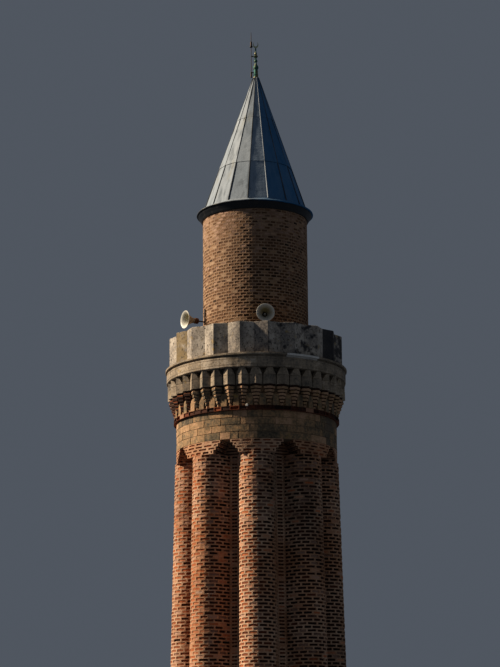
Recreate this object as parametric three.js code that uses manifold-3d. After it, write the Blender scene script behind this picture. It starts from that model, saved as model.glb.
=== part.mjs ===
// A fluted brick minaret, at real size, in millimetres with +Z up.
// The origin is on the tower's axis at ground level, and the doorway faces -Y.
// Azimuths are in degrees round the axis: 0 faces -Y and 90 faces +X.

import * as THREE from "three";
import { ConvexGeometry } from "three/addons/geometries/ConvexGeometry.js";
import { mergeVertices } from "three/addons/utils/BufferGeometryUtils.js";
import Module from "manifold-3d";

const wasm = await Module();
wasm.setup();

// Driving dimensions

const BED = 0.3; // open bed between masonry pieces that touch
const SIDES = 8; // sides of the drum and flutes of the shaft
const ROUND = 48; // facets of a round wall

const WELL = 1150; // half the width of the stair well in the base and drum
const UPPER_WELL = 1035; // radius of the well from the collar to the balcony

const BASE_HALF = 3200;
const BASE_TOP = 5200;
const PLINTH_HEIGHT = 520;
const PLINTH_PROUD = 100;
const FLOOR_THICK = 150;
const DOOR_WIDTH = 1000;
const DOOR_SPRING = 1750;
const DOOR_ARCH_RADIUS = 850;

const BROACH_TOP = 6600;
const DRUM_APOTHEM = 3000;
const BROACH_APOTHEM = 3060;
const DRUM_TOP = 10600;
const NICHE_WIDTH = 1450;
const NICHE_SILL = 450;
const NICHE_SPRING = 1750;
const NICHE_ARCH_RADIUS = 1250;
const NICHE_DEPTH = 130;

const SHAFT_BOTTOM = 11000;
const SHAFT_TOP = 23940;
const FLUTE_REACH_BOTTOM = 2830;
const FLUTE_REACH_TOP = 2550;
const STRIP_SHARE = 0.7; // the groove's strip lies at this share of the flute's reach
const STRIP_HALF = 120;
const FLUTE_RADIUS = 600; // at the shaft's bottom
const FLUTE_FACETS = 14;
const HEAD_HEIGHT = 380;
const HEAD_LAP = 20; // how far the head reaches down over the flute's top
const HEAD_STEPS = 4;
const RECESS_TOP_HALF = 165;
const RECESS_STEP = 80;

const COLLAR_RADIUS = 2510;
const CORBEL_BOTTOM = 25200;
const CORBEL_TOP = 25960;
const BRACKETS = 40;
const FIRST_BRACKET = -0.3; // azimuth of a bracket's ridge
const BRACKET_TOP = 26480;
const BRACKET_REACH = 2795; // from the axis to the ridge
const BRACKET_SLOPE = 0.65; // how fast the two faces beside a ridge run back
const BRACKET_TOP_HALF = 110; // half a bracket's width at its top
const BRACKET_PLAIN = 290; // height over which the brackets touch each other
const PENDANT_REACH = 2775;
const PENDANT_TOP_HALF = 190;
const PENDANT_FOOT_HALF = 45;
const PENDANT_FOOT_REACH = 2545;
const PENDANT_LIFT = 120; // height of the pendants' feet over the collar
const FOOT_COURSE_RADIUS = 2595; // radius of the course that the pendants stand on
const TAIL = 60; // how far a pendant's or a bracket's tail runs into the band behind it

const CORNICE_RADIUS = 2815;
const CORNICE_TOP = 26790;
const LIP_RADIUS = 2855;
const BALCONY_LEVEL = 26910;
const FOLDS = 20;
const FIRST_RIDGE = 7.6;
const RIDGE_RADIUS = 2745;
const VALLEY_RADIUS = 2590;
const PARAPET_THICK = 140;
const PARAPET_HEIGHT = 1010;

const STAGE_RADIUS = 1666;
const STAGE_WELL = 1100;
const STAGE_TOP = 31805;
const BALCONY_DOOR_WIDTH = 700;
const BALCONY_DOOR_HEIGHT = 1800;
const FRONT_JOINT = 60; // azimuth of the upright joints beside the front wall

const EAVE_HEIGHT = 205;
const BRIM_RADIUS = 1875;
const CONE_RADIUS = 1640;
const CONE_BASE = 32170;
const CONE_TIP = 36710;
const TIP_RADIUS = 95;
const TIP_SHIFT = 70; // how far the cone's point leans to +X of the tower's axis
const PANELS = 16;
const FIRST_SEAM = -8;
const ROOF_THICK = 74; // boards and lead, measured level

const HORN_FACETS = 20;
const HORN_MOUTH = 285;
const HORN_LENGTH = 370;
const HORN_SKIN = 9;
const HORN_DRIVER = 90;
const HORN_BACK = 100;
const FRONT_HORN_AZIMUTH = 5;
const LEFT_HORN_AZIMUTH = -60;
const POLE_AZIMUTH = -70.2;
const POLE_OUT = 1700;
const POLE_RADIUS = 25;

const STEM_FACETS = 12;
const CRESCENT_RADIUS = 112;
const CRESCENT_THICK = 26;
const CRESCENT_SQUEEZE = 0.78;
const ROD_X = -147;
const ROD_RADIUS = 9;
const ROD_FOOT = 20;
const ROD_TIP = 1600;
const ROD_CLAMPS = [195, 753]; // heights of the clamps that hold the rod to the stem
const ROD_HEAD = [1060, 1120, 1260]; // heights of the wide disc's two faces and of the cup's top

// Solids

const degrees = THREE.MathUtils.degToRad;
const SIDE_ANGLE = 360 / SIDES;
const HALF = degrees(SIDE_ANGLE / 2);
const TO_CORNER = 1 / Math.cos(HALF); // from an octagon's apothem to its corner
const PAST = 50; // how far a cutting solid runs past the faces that it cuts

// The closed solid of a geometry, with its shared vertices joined.
function solid(geometry) {
  const bare = geometry.clone();
  bare.deleteAttribute("normal");
  bare.deleteAttribute("uv");
  const merged = mergeVertices(bare, 1e-3);
  const vertProperties = merged.attributes.position.array;
  const triVerts = new Uint32Array(merged.index.array);
  return new wasm.Manifold(new wasm.Mesh({ numProp: 3, vertProperties, triVerts }));
}

// The geometry of a solid.
function geometryOf(body) {
  const { vertProperties, triVerts } = body.getMesh();
  const geometry = new THREE.BufferGeometry();
  geometry.setAttribute("position", new THREE.BufferAttribute(vertProperties, 3));
  geometry.setIndex(new THREE.BufferAttribute(triVerts, 1));
  return geometry;
}

// A point of a plan, at a radius and an azimuth.
function onPlan(radius, azimuth) {
  return new THREE.Vector2(radius * Math.sin(degrees(azimuth)), -radius * Math.cos(degrees(azimuth)));
}

// An upright prism over a plan.
function prism(points, low, high) {
  const geometry = new THREE.ExtrudeGeometry(new THREE.Shape(points), {
    depth: high - low,
    bevelEnabled: false,
  });
  return solid(geometry.translate(0, 0, low));
}

// A box between two corners.
function block([x0, y0, z0], [x1, y1, z1]) {
  const geometry = new THREE.BoxGeometry(x1 - x0, y1 - y0, z1 - z0);
  return solid(geometry.translate((x0 + x1) / 2, (y0 + y1) / 2, (z0 + z1) / 2));
}

// A profile of radius and height pairs turned round the axis, starting at an azimuth.
function turned(profile, sides = ROUND, start = 0) {
  const points = profile.map(([radius, height]) => new THREE.Vector2(radius, height));
  return solid(new THREE.LatheGeometry(points, sides, degrees(start)).rotateX(Math.PI / 2));
}

// A ring whose outside is a profile that runs upwards, round a plain well.
function ring(outside, well, sides = ROUND, start = 0) {
  const low = outside[0][1];
  const high = outside.at(-1)[1];
  return turned([[well, low], ...outside, [well, high], [well, low]], sides, start);
}

// The smallest convex solid round some points.
function wrapped(points) {
  return solid(new ConvexGeometry(points.map(([x, y, z]) => new THREE.Vector3(x, y, z))));
}

// The prism of a pointed arch that runs along Y between two planes, with its sill at a height.
function archway(width, spring, radius, front, back, sill) {
  const half = width / 2;
  const centre = half - radius;
  const apex = Math.acos(-centre / radius);
  const shape = new THREE.Shape();
  shape.moveTo(-half, 0);
  shape.lineTo(half, 0);
  shape.absarc(centre, spring, radius, 0, apex);
  shape.absarc(-centre, spring, radius, Math.PI - apex, Math.PI);
  const geometry = new THREE.ExtrudeGeometry(shape, {
    depth: back - front,
    bevelEnabled: false,
    curveSegments: 6,
  });
  return solid(geometry.rotateX(Math.PI / 2).translate(0, back, sill));
}

// The corners of an octagon whose sides lie at a distance from the axis.
function octagonPlan(apothem) {
  return Array.from({ length: SIDES }, (_, i) => onPlan(apothem * TO_CORNER, (i + 0.5) * SIDE_ANGLE));
}

// A solid turned round the tower's axis.
const turnedBy = (body, azimuth) => body.rotate([0, 0, azimuth]);

// Materials and nodes

const BRICK = { color: 0x9a6444, roughness: 0.95 };
const UPPER_BRICK = { color: 0xa9814f, roughness: 0.95 };
const ASHLAR = { color: 0xa98a5e, roughness: 0.93 };
const PALE_STONE = { color: 0xbfa98a, roughness: 0.92 };
const LEAD = { color: 0x7f858c, roughness: 0.55, metalness: 0.6 };
const DARK_TRIM = { color: 0x232325, roughness: 0.7 };
const PATINA = { color: 0x5f7d66, roughness: 0.6, metalness: 0.7 };
const HORN_GREY = { color: 0xc9c6b8, roughness: 0.5 };
const IRON = { color: 0x2b2a29, roughness: 0.6, metalness: 0.8 };

const tower = new THREE.Group();

// A part of the tower whose own heights start at a level.
function storey(level) {
  const group = new THREE.Group();
  group.position.z = level;
  tower.add(group);
  return group;
}

// A named piece of a solid, in a group.
function piece(name, body, finish, group) {
  const mesh = new THREE.Mesh(geometryOf(body), new THREE.MeshStandardMaterial(finish));
  mesh.name = name;
  group.add(mesh);
  return mesh;
}

// Square base: walls round a square well, with the doorway through the front

const base = storey(0);

// A wall of the base, with a projecting plinth on the sides that face outwards.
function baseWall([x0, y0], [x1, y1]) {
  const proud = (value) => (Math.abs(value) === BASE_HALF ? Math.sign(value) * PLINTH_PROUD : 0);
  const wall = block([x0, y0, 0], [x1, y1, BASE_TOP]);
  const plinth = block(
    [x0 + proud(x0), y0 + proud(y0), 0],
    [x1 + proud(x1), y1 + proud(y1), PLINTH_HEIGHT],
  );
  return wall.add(plinth);
}

const jamb = DOOR_WIDTH / 2;
const side = WELL - BED;
piece("base_back_wall", baseWall([-BASE_HALF, WELL], [BASE_HALF, BASE_HALF]), ASHLAR, base);
piece("base_left_wall", baseWall([-BASE_HALF, -side], [-WELL, side]), ASHLAR, base);
piece("base_right_wall", baseWall([WELL, -side], [BASE_HALF, side]), ASHLAR, base);
piece("base_front_left", baseWall([-BASE_HALF, -BASE_HALF], [-jamb, -WELL]), ASHLAR, base);
piece("base_front_right", baseWall([jamb, -BASE_HALF], [BASE_HALF, -WELL]), ASHLAR, base);

const overDoor = block([BED - jamb, -BASE_HALF, DOOR_SPRING], [jamb - BED, -WELL, BASE_TOP]);
const doorArch = archway(DOOR_WIDTH, DOOR_SPRING, DOOR_ARCH_RADIUS, -BASE_HALF - PAST, PAST - WELL, 0);
piece("base_over_door", overDoor.subtract(doorArch), ASHLAR, base);

const hall = block([-side, -side, 0], [side, side, FLOOR_THICK]);
const passage = block([BED - jamb, -BASE_HALF, 0], [jamb - BED, 0, FLOOR_THICK]);
piece("ground_floor", hall.add(passage), ASHLAR, base);

// Broach: the square becomes an octagon

const broach = storey(BASE_TOP + BED);
const broachHeight = BROACH_TOP - BASE_TOP - BED;
const corners = [-1, 1].flatMap((x) => [-1, 1].map((y) => [x * BASE_HALF, y * BASE_HALF, 0]));
const octagon = octagonPlan(BROACH_APOTHEM).map((corner) => [corner.x, corner.y, broachHeight]);
const broachWell = prism(octagonPlan(WELL), -PAST, broachHeight + PAST);
piece("broach_course", wrapped([...corners, ...octagon]).subtract(broachWell), ASHLAR, broach);

// Octagonal drum: eight wedges of wall with blind niches, under a stone cornice

const drum = storey(BROACH_TOP + BED);
const drumHeight = DRUM_TOP - BROACH_TOP - 2 * BED;

// Half the width of a wedge at a distance from the axis, less its half of the open joint.
const wedgeHalf = (distance) => distance * Math.tan(HALF) - (BED / 2) * TO_CORNER;

const panelPlan = [
  new THREE.Vector2(-wedgeHalf(WELL), -WELL),
  new THREE.Vector2(wedgeHalf(WELL), -WELL),
  new THREE.Vector2(wedgeHalf(DRUM_APOTHEM), -DRUM_APOTHEM),
  new THREE.Vector2(-wedgeHalf(DRUM_APOTHEM), -DRUM_APOTHEM),
];
const niche = archway(
  NICHE_WIDTH,
  NICHE_SPRING,
  NICHE_ARCH_RADIUS,
  -DRUM_APOTHEM - PAST,
  NICHE_DEPTH - DRUM_APOTHEM,
  NICHE_SILL,
);
const drumPanel = prism(panelPlan, 0, drumHeight).subtract(niche);
for (let i = 0; i < SIDES; i++) {
  const panel = piece(`drum_panel_${i + 1}`, drumPanel, BRICK, drum);
  panel.rotation.z = degrees(i * SIDE_ANGLE);
}

const drumCornice = storey(DRUM_TOP);
const corniceHeight = SHAFT_BOTTOM - DRUM_TOP - BED;
const CORNICE_PROUD = 90;
const corniceOutside = [
  [DRUM_APOTHEM, 0],
  [DRUM_APOTHEM + CORNICE_PROUD, 90],
  [DRUM_APOTHEM + CORNICE_PROUD, 230],
  [FLUTE_REACH_BOTTOM + 30, corniceHeight],
].map(([distance, height]) => [distance * TO_CORNER, height]);
const corniceRing = ring(corniceOutside, WELL * TO_CORNER, SIDES, SIDE_ANGLE / 2);
piece("drum_cornice", corniceRing, PALE_STONE, drumCornice);

// Fluted shaft: eight wedges, each a half-round flute between two half strips

const shaft = storey(SHAFT_BOTTOM);
const shaftHeight = SHAFT_TOP - SHAFT_BOTTOM;
const grooveOut = onPlan(1, SIDE_ANGLE / 2);
const grooveAcross = onPlan(1, SIDE_ANGLE / 2 + 90);

// A point beside the groove's middle line, on the flute's own side of it.
function besideGroove(distance, offset) {
  return grooveOut.clone().multiplyScalar(distance).addScaledVector(grooveAcross, -offset);
}

// The plan of a flute that reaches a distance from the axis, facing -Y: a half circle whose two
// flanks run back to the strips. It is drawn at the shaft's bottom.
function flutePlan(reach) {
  const edge = besideGroove(STRIP_SHARE * reach, STRIP_HALF);
  const arc = Array.from({ length: FLUTE_FACETS + 1 }, (_, i) => {
    const angle = Math.PI * (0.5 - i / FLUTE_FACETS);
    return new THREE.Vector2(
      FLUTE_RADIUS * Math.sin(angle),
      FLUTE_RADIUS - reach - FLUTE_RADIUS * Math.cos(angle),
    );
  });
  const stripEnd = besideGroove(STRIP_SHARE * reach, BED / 2);
  return [
    new THREE.Vector2(-wedgeHalf(WELL), -WELL),
    new THREE.Vector2(wedgeHalf(WELL), -WELL),
    stripEnd,
    edge,
    ...arc,
    new THREE.Vector2(-edge.x, edge.y),
    new THREE.Vector2(-stripEnd.x, stripEnd.y),
  ];
}

// The shaft's wedges lean in, so a plan shrinks about the axis with its height.
function tapered(points, height, share) {
  const geometry = new THREE.ExtrudeGeometry(new THREE.Shape(points), {
    depth: height,
    bevelEnabled: false,
  });
  const position = geometry.attributes.position;
  for (let i = 0; i < position.count; i++) {
    const scale = 1 - (1 - share) * (position.getZ(i) / height);
    position.setXY(i, position.getX(i) * scale, position.getY(i) * scale);
  }
  return solid(geometry);
}

// The head of a flute is round outside, and each groove beside it is closed in steps.
function fluteHead() {
  const foot = shaftHeight - HEAD_LAP;
  const top = shaftHeight + HEAD_HEIGHT;
  const facets = ROUND / SIDES;
  const rim = Array.from({ length: facets + 1 }, (_, i) =>
    onPlan(COLLAR_RADIUS, (0.5 - i / facets) * SIDE_ANGLE),
  );
  const trim = (BED / 2) * TO_CORNER;
  rim[0].x -= trim;
  rim.at(-1).x += trim;
  const plan = [
    new THREE.Vector2(-wedgeHalf(UPPER_WELL), -UPPER_WELL),
    new THREE.Vector2(wedgeHalf(UPPER_WELL), -UPPER_WELL),
    ...rim,
  ];
  let head = prism(plan, foot, top);
  const recessFloor = STRIP_SHARE * FLUTE_REACH_TOP;
  const stepHeight = HEAD_HEIGHT / HEAD_STEPS;
  for (let step = 0; step < HEAD_STEPS; step++) {
    const half = RECESS_TOP_HALF + step * RECESS_STEP;
    const high = top - step * stepHeight;
    const low = step === HEAD_STEPS - 1 ? foot - PAST : high - stepHeight;
    const ceiling = step === 0 ? high + PAST : high;
    const recess = block([-half, -FLUTE_REACH_BOTTOM, low], [half, -recessFloor, ceiling]);
    head = head.subtract(turnedBy(recess, SIDE_ANGLE / 2)).subtract(turnedBy(recess, -SIDE_ANGLE / 2));
  }
  return head;
}

const taper = FLUTE_REACH_TOP / FLUTE_REACH_BOTTOM;
const flute = tapered(flutePlan(FLUTE_REACH_BOTTOM), shaftHeight, taper).add(fluteHead());
for (let i = 0; i < SIDES; i++) {
  const wedge = piece(`flute_${i + 1}`, flute, BRICK, shaft);
  wedge.rotation.z = degrees(i * SIDE_ANGLE);
}

// Balcony: collar, pendants, brackets, cornice, floor and folded parapet

const collarBottom = SHAFT_TOP + HEAD_HEIGHT + BED;
const collar = storey(collarBottom);

// A plain round band of masonry at a radius, round the well under the balcony.
function band(radius, height) {
  return ring([[radius, 0], [radius, height]], UPPER_WELL);
}
piece("stone_collar", band(COLLAR_RADIUS, CORBEL_BOTTOM - collarBottom - BED), ASHLAR, collar);

// The plan of a bracket or pendant at a height, facing -Y: a ridge between two faces, and a tail.
function ridged(half, reach, height) {
  const side = reach - BRACKET_SLOPE * half;
  const inside = COLLAR_RADIUS - TAIL;
  return [
    [-half, -inside, height],
    [half, -inside, height],
    [half, -side, height],
    [0, -reach, height],
    [-half, -side, height],
  ];
}

// A solid repeated round the tower at the brackets' azimuths, joined to a ring.
function withBrackets(core, bracket) {
  let body = core;
  for (let i = 0; i < BRACKETS; i++) {
    body = body.add(turnedBy(bracket, FIRST_BRACKET + (i * 360) / BRACKETS));
  }
  return body;
}

const corbels = storey(CORBEL_BOTTOM);
const corbelHeight = CORBEL_TOP - CORBEL_BOTTOM;
// A pendant hangs under each bracket and narrows towards its foot.
const pendant = wrapped([
  ...ridged(PENDANT_FOOT_HALF, PENDANT_FOOT_REACH, PENDANT_LIFT),
  ...ridged(PENDANT_TOP_HALF, PENDANT_REACH, corbelHeight),
]);
const corbelOutside = [
  [FOOT_COURSE_RADIUS, 0],
  [FOOT_COURSE_RADIUS, PENDANT_LIFT],
  [COLLAR_RADIUS, PENDANT_LIFT],
  [COLLAR_RADIUS, corbelHeight],
];
const corbelRing = withBrackets(ring(corbelOutside, UPPER_WELL), pendant);
piece("corbel_ring", corbelRing, BRICK, corbels);

const brackets = storey(CORBEL_TOP + BED);
const bracketHeight = BRACKET_TOP - CORBEL_TOP - BED;
const bracketTurn = Math.tan(degrees(180 / BRACKETS));
const valleyHalf = (BRACKET_REACH * bracketTurn) / (1 + BRACKET_SLOPE * bracketTurn);
const OVERLAP = 1; // how far neighbouring brackets run into each other
const fullHalf = valleyHalf + OVERLAP;
// The brackets touch each other below, and above they narrow and leave dark gaps.
const plainPart = wrapped([
  ...ridged(fullHalf, BRACKET_REACH, 0),
  ...ridged(fullHalf, BRACKET_REACH, BRACKET_PLAIN),
]);
const narrowPart = wrapped([
  ...ridged(fullHalf, BRACKET_REACH, BRACKET_PLAIN),
  ...ridged(BRACKET_TOP_HALF, BRACKET_REACH, bracketHeight),
]);
const bracket = plainPart.add(narrowPart);
piece("bracket_ring", withBrackets(band(COLLAR_RADIUS, bracketHeight), bracket), PALE_STONE, brackets);

const cornice = storey(BRACKET_TOP + BED);
piece("cornice_ring", band(CORNICE_RADIUS, CORNICE_TOP - BRACKET_TOP - BED), PALE_STONE, cornice);

const balcony = storey(CORNICE_TOP + BED);
const floorHeight = BALCONY_LEVEL - CORNICE_TOP - BED;
const DRIP_INSET = 50;
const DRIP_HEIGHT = 58;
const floorOutside = [
  [CORNICE_RADIUS - DRIP_INSET, 0],
  [CORNICE_RADIUS - DRIP_INSET, DRIP_HEIGHT],
  [LIP_RADIUS, DRIP_HEIGHT],
  [LIP_RADIUS, floorHeight],
];
piece("balcony_floor", ring(floorOutside, UPPER_WELL), PALE_STONE, balcony);

const onBalcony = storey(BALCONY_LEVEL + BED);
const foldPlan = (inset) =>
  Array.from({ length: 2 * FOLDS }, (_, i) => {
    const radius = i % 2 === 0 ? RIDGE_RADIUS : VALLEY_RADIUS;
    return onPlan(radius - inset, FIRST_RIDGE + (i * 180) / FOLDS);
  });
const insideScreen = prism(foldPlan(PARAPET_THICK), -PAST, PARAPET_HEIGHT + PAST);
const screen = prism(foldPlan(0), 0, PARAPET_HEIGHT).subtract(insideScreen);
piece("parapet", screen, PALE_STONE, onBalcony);

// Round brick stage over the balcony, with a doorway at the back

const stageHeight = STAGE_TOP - BALCONY_LEVEL - BED;
const stageWall = ring([[STAGE_RADIUS, 0], [STAGE_RADIUS, stageHeight]], STAGE_WELL);
const doorHalf = BALCONY_DOOR_WIDTH / 2;
const doorSlot = block([-doorHalf, 0, -PAST], [doorHalf, 2 * STAGE_RADIUS, stageHeight + PAST]);

// A sector of the stage's wall between two azimuths less than half a turn apart.
function stageSector(from, to) {
  const far = 4 * STAGE_RADIUS;
  const plan = [onPlan(0, 0), onPlan(far, from), onPlan(far, (from + to) / 2), onPlan(far, to)];
  return stageWall.intersect(prism(plan, -PAST, stageHeight + PAST));
}

const openAngle = THREE.MathUtils.radToDeg(BED / STAGE_RADIUS);
piece("upper_wall_front", stageSector(-FRONT_JOINT, FRONT_JOINT), UPPER_BRICK, onBalcony);
const rightWall = stageSector(FRONT_JOINT + openAngle, 180).subtract(doorSlot);
const leftWall = stageSector(-180, -FRONT_JOINT - openAngle).subtract(doorSlot);
piece("upper_wall_right", rightWall, UPPER_BRICK, onBalcony);
piece("upper_wall_left", leftWall, UPPER_BRICK, onBalcony);
const lintelSlot = block(
  [BED - doorHalf, 0, BALCONY_DOOR_HEIGHT],
  [doorHalf - BED, 2 * STAGE_RADIUS, stageHeight + PAST],
);
piece("upper_wall_over_door", stageWall.intersect(lintelSlot), UPPER_BRICK, onBalcony);

// Roof: a dark moulding, then a hollow cone of sixteen flat panels

const eave = storey(STAGE_TOP + BED);
const eaveOutside = [
  [STAGE_RADIUS + 38, 0],
  [STAGE_RADIUS + 58, 30],
  [STAGE_RADIUS + 76, 65],
  [STAGE_RADIUS + 96, 97],
  [STAGE_RADIUS + 123, 130],
  [STAGE_RADIUS + 141, 163],
  [STAGE_RADIUS + 156, EAVE_HEIGHT - BED],
];
piece("eave_moulding", ring(eaveOutside, STAGE_WELL), DARK_TRIM, eave);

const brimBottom = STAGE_TOP + EAVE_HEIGHT + BED;
const roof = storey(brimBottom);
const coneFoot = CONE_BASE - brimBottom;
const coneTop = CONE_TIP - brimBottom;
const lean = (CONE_RADIUS - TIP_RADIUS) / (coneTop - coneFoot);
const TIP_BLOCK = 400; // solid wood under the cone's point
const ceiling = coneTop - TIP_BLOCK;
const roofProfile = [
  [0, ceiling],
  [CONE_RADIUS - ROOF_THICK - lean * (ceiling - coneFoot), ceiling],
  [CONE_RADIUS - ROOF_THICK + lean * coneFoot, 0],
  [BRIM_RADIUS - 8, 0],
  [BRIM_RADIUS, 12],
  [BRIM_RADIUS - 4, 34],
  [BRIM_RADIUS - 95, 74],
  [CONE_RADIUS + 25, 118],
  [CONE_RADIUS, coneFoot],
  [TIP_RADIUS, coneTop],
  [0, coneTop],
];
// The timber has settled, so the cone leans a little to one side.
const settled = new THREE.Matrix4().makeShear(0, 0, 0, 0, TIP_SHIFT / coneTop, 0);
const cone = turned(roofProfile, PANELS, FIRST_SEAM).transform(settled.toArray());
piece("cone_roof", cone, LEAD, roof);

// Finial: a turned stem, a crescent, and a lightning rod held beside them

const finial = storey(CONE_TIP + BED);
finial.position.x = TIP_SHIFT;
const stemProfile = [
  [84, 0],
  [84, 35],
  [68, 50],
  [68, 95],
  [82, 110],
  [68, 130],
  [66, 255],
  [58, 290],
  [88, 350],
  [70, 420],
  [34, 490],
  [28, 540],
  [58, 575],
  [58, 605],
  [26, 640],
  [26, 700],
  [72, 735],
  [72, 765],
  [30, 800],
  [42, 840],
  [30, 880],
  [20, 920],
  [20, 1035],
];
// The stem, with its surface moved out by a clearance.
function stem(clearance) {
  const outside = stemProfile.map(([radius, height]) => [radius + clearance, height]);
  return turned([[0, 0], ...outside, [0, stemProfile.at(-1)[1]]], STEM_FACETS);
}
piece("finial_stem", stem(0), PATINA, finial);

const crescentBase = stemProfile.at(-1)[1] + BED;

// An upright round plate that faces -Y, squeezed sideways.
function plate(radius, height, thick) {
  const geometry = new THREE.CylinderGeometry(radius, radius, thick, 28);
  return solid(geometry.scale(CRESCENT_SQUEEZE, 1, 1).translate(0, 0, height));
}
const CRESCENT_GROWTH = 22; // how much smaller the circle is that cuts the crescent
const CRESCENT_SHIFT = 30; // how far that circle lies above the crescent's own
const FOOT_HALF = 17;
const FOOT_HEIGHT = 24;
const crescentCentre = crescentBase + CRESCENT_RADIUS + 4;
const crescentFoot = block(
  [-FOOT_HALF, -CRESCENT_THICK / 2, crescentBase],
  [FOOT_HALF, CRESCENT_THICK / 2, crescentBase + FOOT_HEIGHT],
);
const crescentGap = plate(
  CRESCENT_RADIUS - CRESCENT_GROWTH,
  crescentCentre + CRESCENT_SHIFT,
  2 * CRESCENT_THICK,
);
const crescent = plate(CRESCENT_RADIUS, crescentCentre, CRESCENT_THICK)
  .subtract(crescentGap)
  .add(crescentFoot);
piece("finial_crescent", crescent, PATINA, finial);

// An upright round bar at the rod's place.
function bar(radius, low, high, sides = 10) {
  const geometry = new THREE.CylinderGeometry(radius, radius, high - low, sides);
  return solid(geometry.rotateX(Math.PI / 2).translate(ROD_X, 0, (low + high) / 2));
}
const CLAMP_HALF = 13;
// A flat clamp from the rod to the stem's middle line.
function clamp(height) {
  return block([ROD_X, -CLAMP_HALF, height - CLAMP_HALF], [0, CLAMP_HALF, height + CLAMP_HALF]);
}
const SLEEVE_RADIUS = 26;
const DISC_RADIUS = 48;
const CUP_RADIUS = 30;
const [lowClamp, highClamp] = ROD_CLAMPS;
const [discLow, discHigh, cupTop] = ROD_HEAD;
const rod = bar(ROD_RADIUS, ROD_FOOT, ROD_TIP)
  .add(bar(SLEEVE_RADIUS, ROD_FOOT, lowClamp + CLAMP_HALF))
  .add(bar(DISC_RADIUS, discLow, discHigh))
  .add(bar(CUP_RADIUS, discHigh, cupTop))
  .add(clamp(lowClamp))
  .add(clamp(highClamp))
  .subtract(stem(BED));
// The stem cuts the clamps' far ends off, and only the rod's own side is kept.
const rodSide = rod.decompose().sort((a, b) => b.volume() - a.volume())[0];
piece("lightning_rod", rodSide, IRON, finial);

// Loudspeaker horns, each on its own bracket

const hornProfile = [
  [0, -100],
  [HORN_DRIVER, -100],
  [HORN_DRIVER, 20],
  [72, 40],
  [95, 120],
  [140, 210],
  [205, 300],
  [HORN_MOUTH - 12, HORN_LENGTH - 14],
  [HORN_MOUTH, HORN_LENGTH - 6],
  [HORN_MOUTH - 4, HORN_LENGTH],
  [HORN_MOUTH - 20, HORN_LENGTH - 8],
  [205 - HORN_SKIN, 300 + HORN_SKIN],
  [140 - HORN_SKIN, 210 + HORN_SKIN],
  [95 - HORN_SKIN, 120 + HORN_SKIN],
  [66, 50],
  [38, 50],
  [34, 150],
  [18, 185],
  [0, 195],
];

// The horn's own axis is Z. This turns it to face an azimuth, and puts its back at a point.
function placeHorn(mesh, azimuth, back) {
  const facing = onPlan(1, azimuth);
  mesh.quaternion.setFromUnitVectors(
    new THREE.Vector3(0, 0, 1),
    new THREE.Vector3(facing.x, facing.y, 0),
  );
  mesh.position.set(back.x + facing.x * HORN_BACK, back.y + facing.y * HORN_BACK, back.z);
}

const horn = turned(hornProfile, HORN_FACETS);
const wallFace = STAGE_RADIUS + BED;
const wallCut = turned([[0, 0], [wallFace, 0], [wallFace, stageHeight], [0, stageHeight], [0, 0]]);

// A square arm from a horn's back towards the wall, along the horn's own line.
function arm(azimuth, back, reach, half) {
  const straight = block([-half, BED, -half], [half, reach, half]);
  return straight.rotate([0, 0, azimuth]).translate([back.x, back.y, back.z]);
}

// A point over the balcony's floor, from its height over the ground.
function overFloor(x, y, height) {
  return new THREE.Vector3(x, y, height - BALCONY_LEVEL - BED);
}

const FRONT_HORN_BACK = overFloor(258, -1700, 28310);
const PLATE_FRONT = -1680;
const PLATE_HALF = [60, 90];
const frontHorn = piece("front_horn", horn, HORN_GREY, onBalcony);
placeHorn(frontHorn, FRONT_HORN_AZIMUTH, FRONT_HORN_BACK);
const frontPlate = block(
  [FRONT_HORN_BACK.x - PLATE_HALF[0], PLATE_FRONT, FRONT_HORN_BACK.z - PLATE_HALF[1]],
  [FRONT_HORN_BACK.x + PLATE_HALF[0], -1500, FRONT_HORN_BACK.z + PLATE_HALF[1]],
);
const frontArm = arm(FRONT_HORN_AZIMUTH, FRONT_HORN_BACK, 150, 25);
const frontBracket = frontArm.add(frontPlate).subtract(wallCut);
piece("front_horn_bracket", frontBracket, IRON, onBalcony);

// The left horn's arm runs from its back to a pole that stands off the wall.
const poleFoot = onPlan(POLE_OUT, POLE_AZIMUTH);
const LEFT_ARM = 247;
const leftFacing = onPlan(LEFT_ARM, LEFT_HORN_AZIMUTH);
const LEFT_HORN_BACK = overFloor(poleFoot.x + leftFacing.x, poleFoot.y + leftFacing.y, 28407);
const leftHorn = piece("left_horn", horn, HORN_GREY, onBalcony);
placeHorn(leftHorn, LEFT_HORN_AZIMUTH, LEFT_HORN_BACK);
const poleLow = overFloor(0, 0, 28310).z;
const poleHigh = overFloor(0, 0, 28820).z;
const pole = solid(
  new THREE.CylinderGeometry(POLE_RADIUS, POLE_RADIUS, poleHigh - poleLow, 12)
    .rotateX(Math.PI / 2)
    .translate(poleFoot.x, poleFoot.y, (poleLow + poleHigh) / 2),
);
const STAND_OFF_INSET = 60; // how far the bars that hold the pole off the wall lie from its ends
const STAND_OFF_REACH = 80;
// A short bar that holds the pole off the wall.
function standOff(height) {
  return arm(POLE_AZIMUTH, new THREE.Vector3(poleFoot.x, poleFoot.y, height), STAND_OFF_REACH, 15);
}
const poleWithArms = pole
  .add(standOff(poleLow + STAND_OFF_INSET))
  .add(standOff(poleHigh - STAND_OFF_INSET))
  .add(arm(LEFT_HORN_AZIMUTH, LEFT_HORN_BACK, LEFT_ARM, 20))
  .subtract(wallCut);
piece("left_horn_pole", poleWithArms, IRON, onBalcony);

export default tower;
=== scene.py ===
# %% [markdown]
# # A fluted brick minaret
# The tower comes in as a frame of plain solids at its real size. This script gives each of them the
# surface that a visitor sees: bricks and their mortar, dressed stone, lead sheet and old metal. The
# solids say where everything is, so each step reads its place from the frame and builds on it.

# %% Load the frame
import math

import bmesh
import bpy
import numpy as np
from mathutils import Euler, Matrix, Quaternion, Vector


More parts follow.
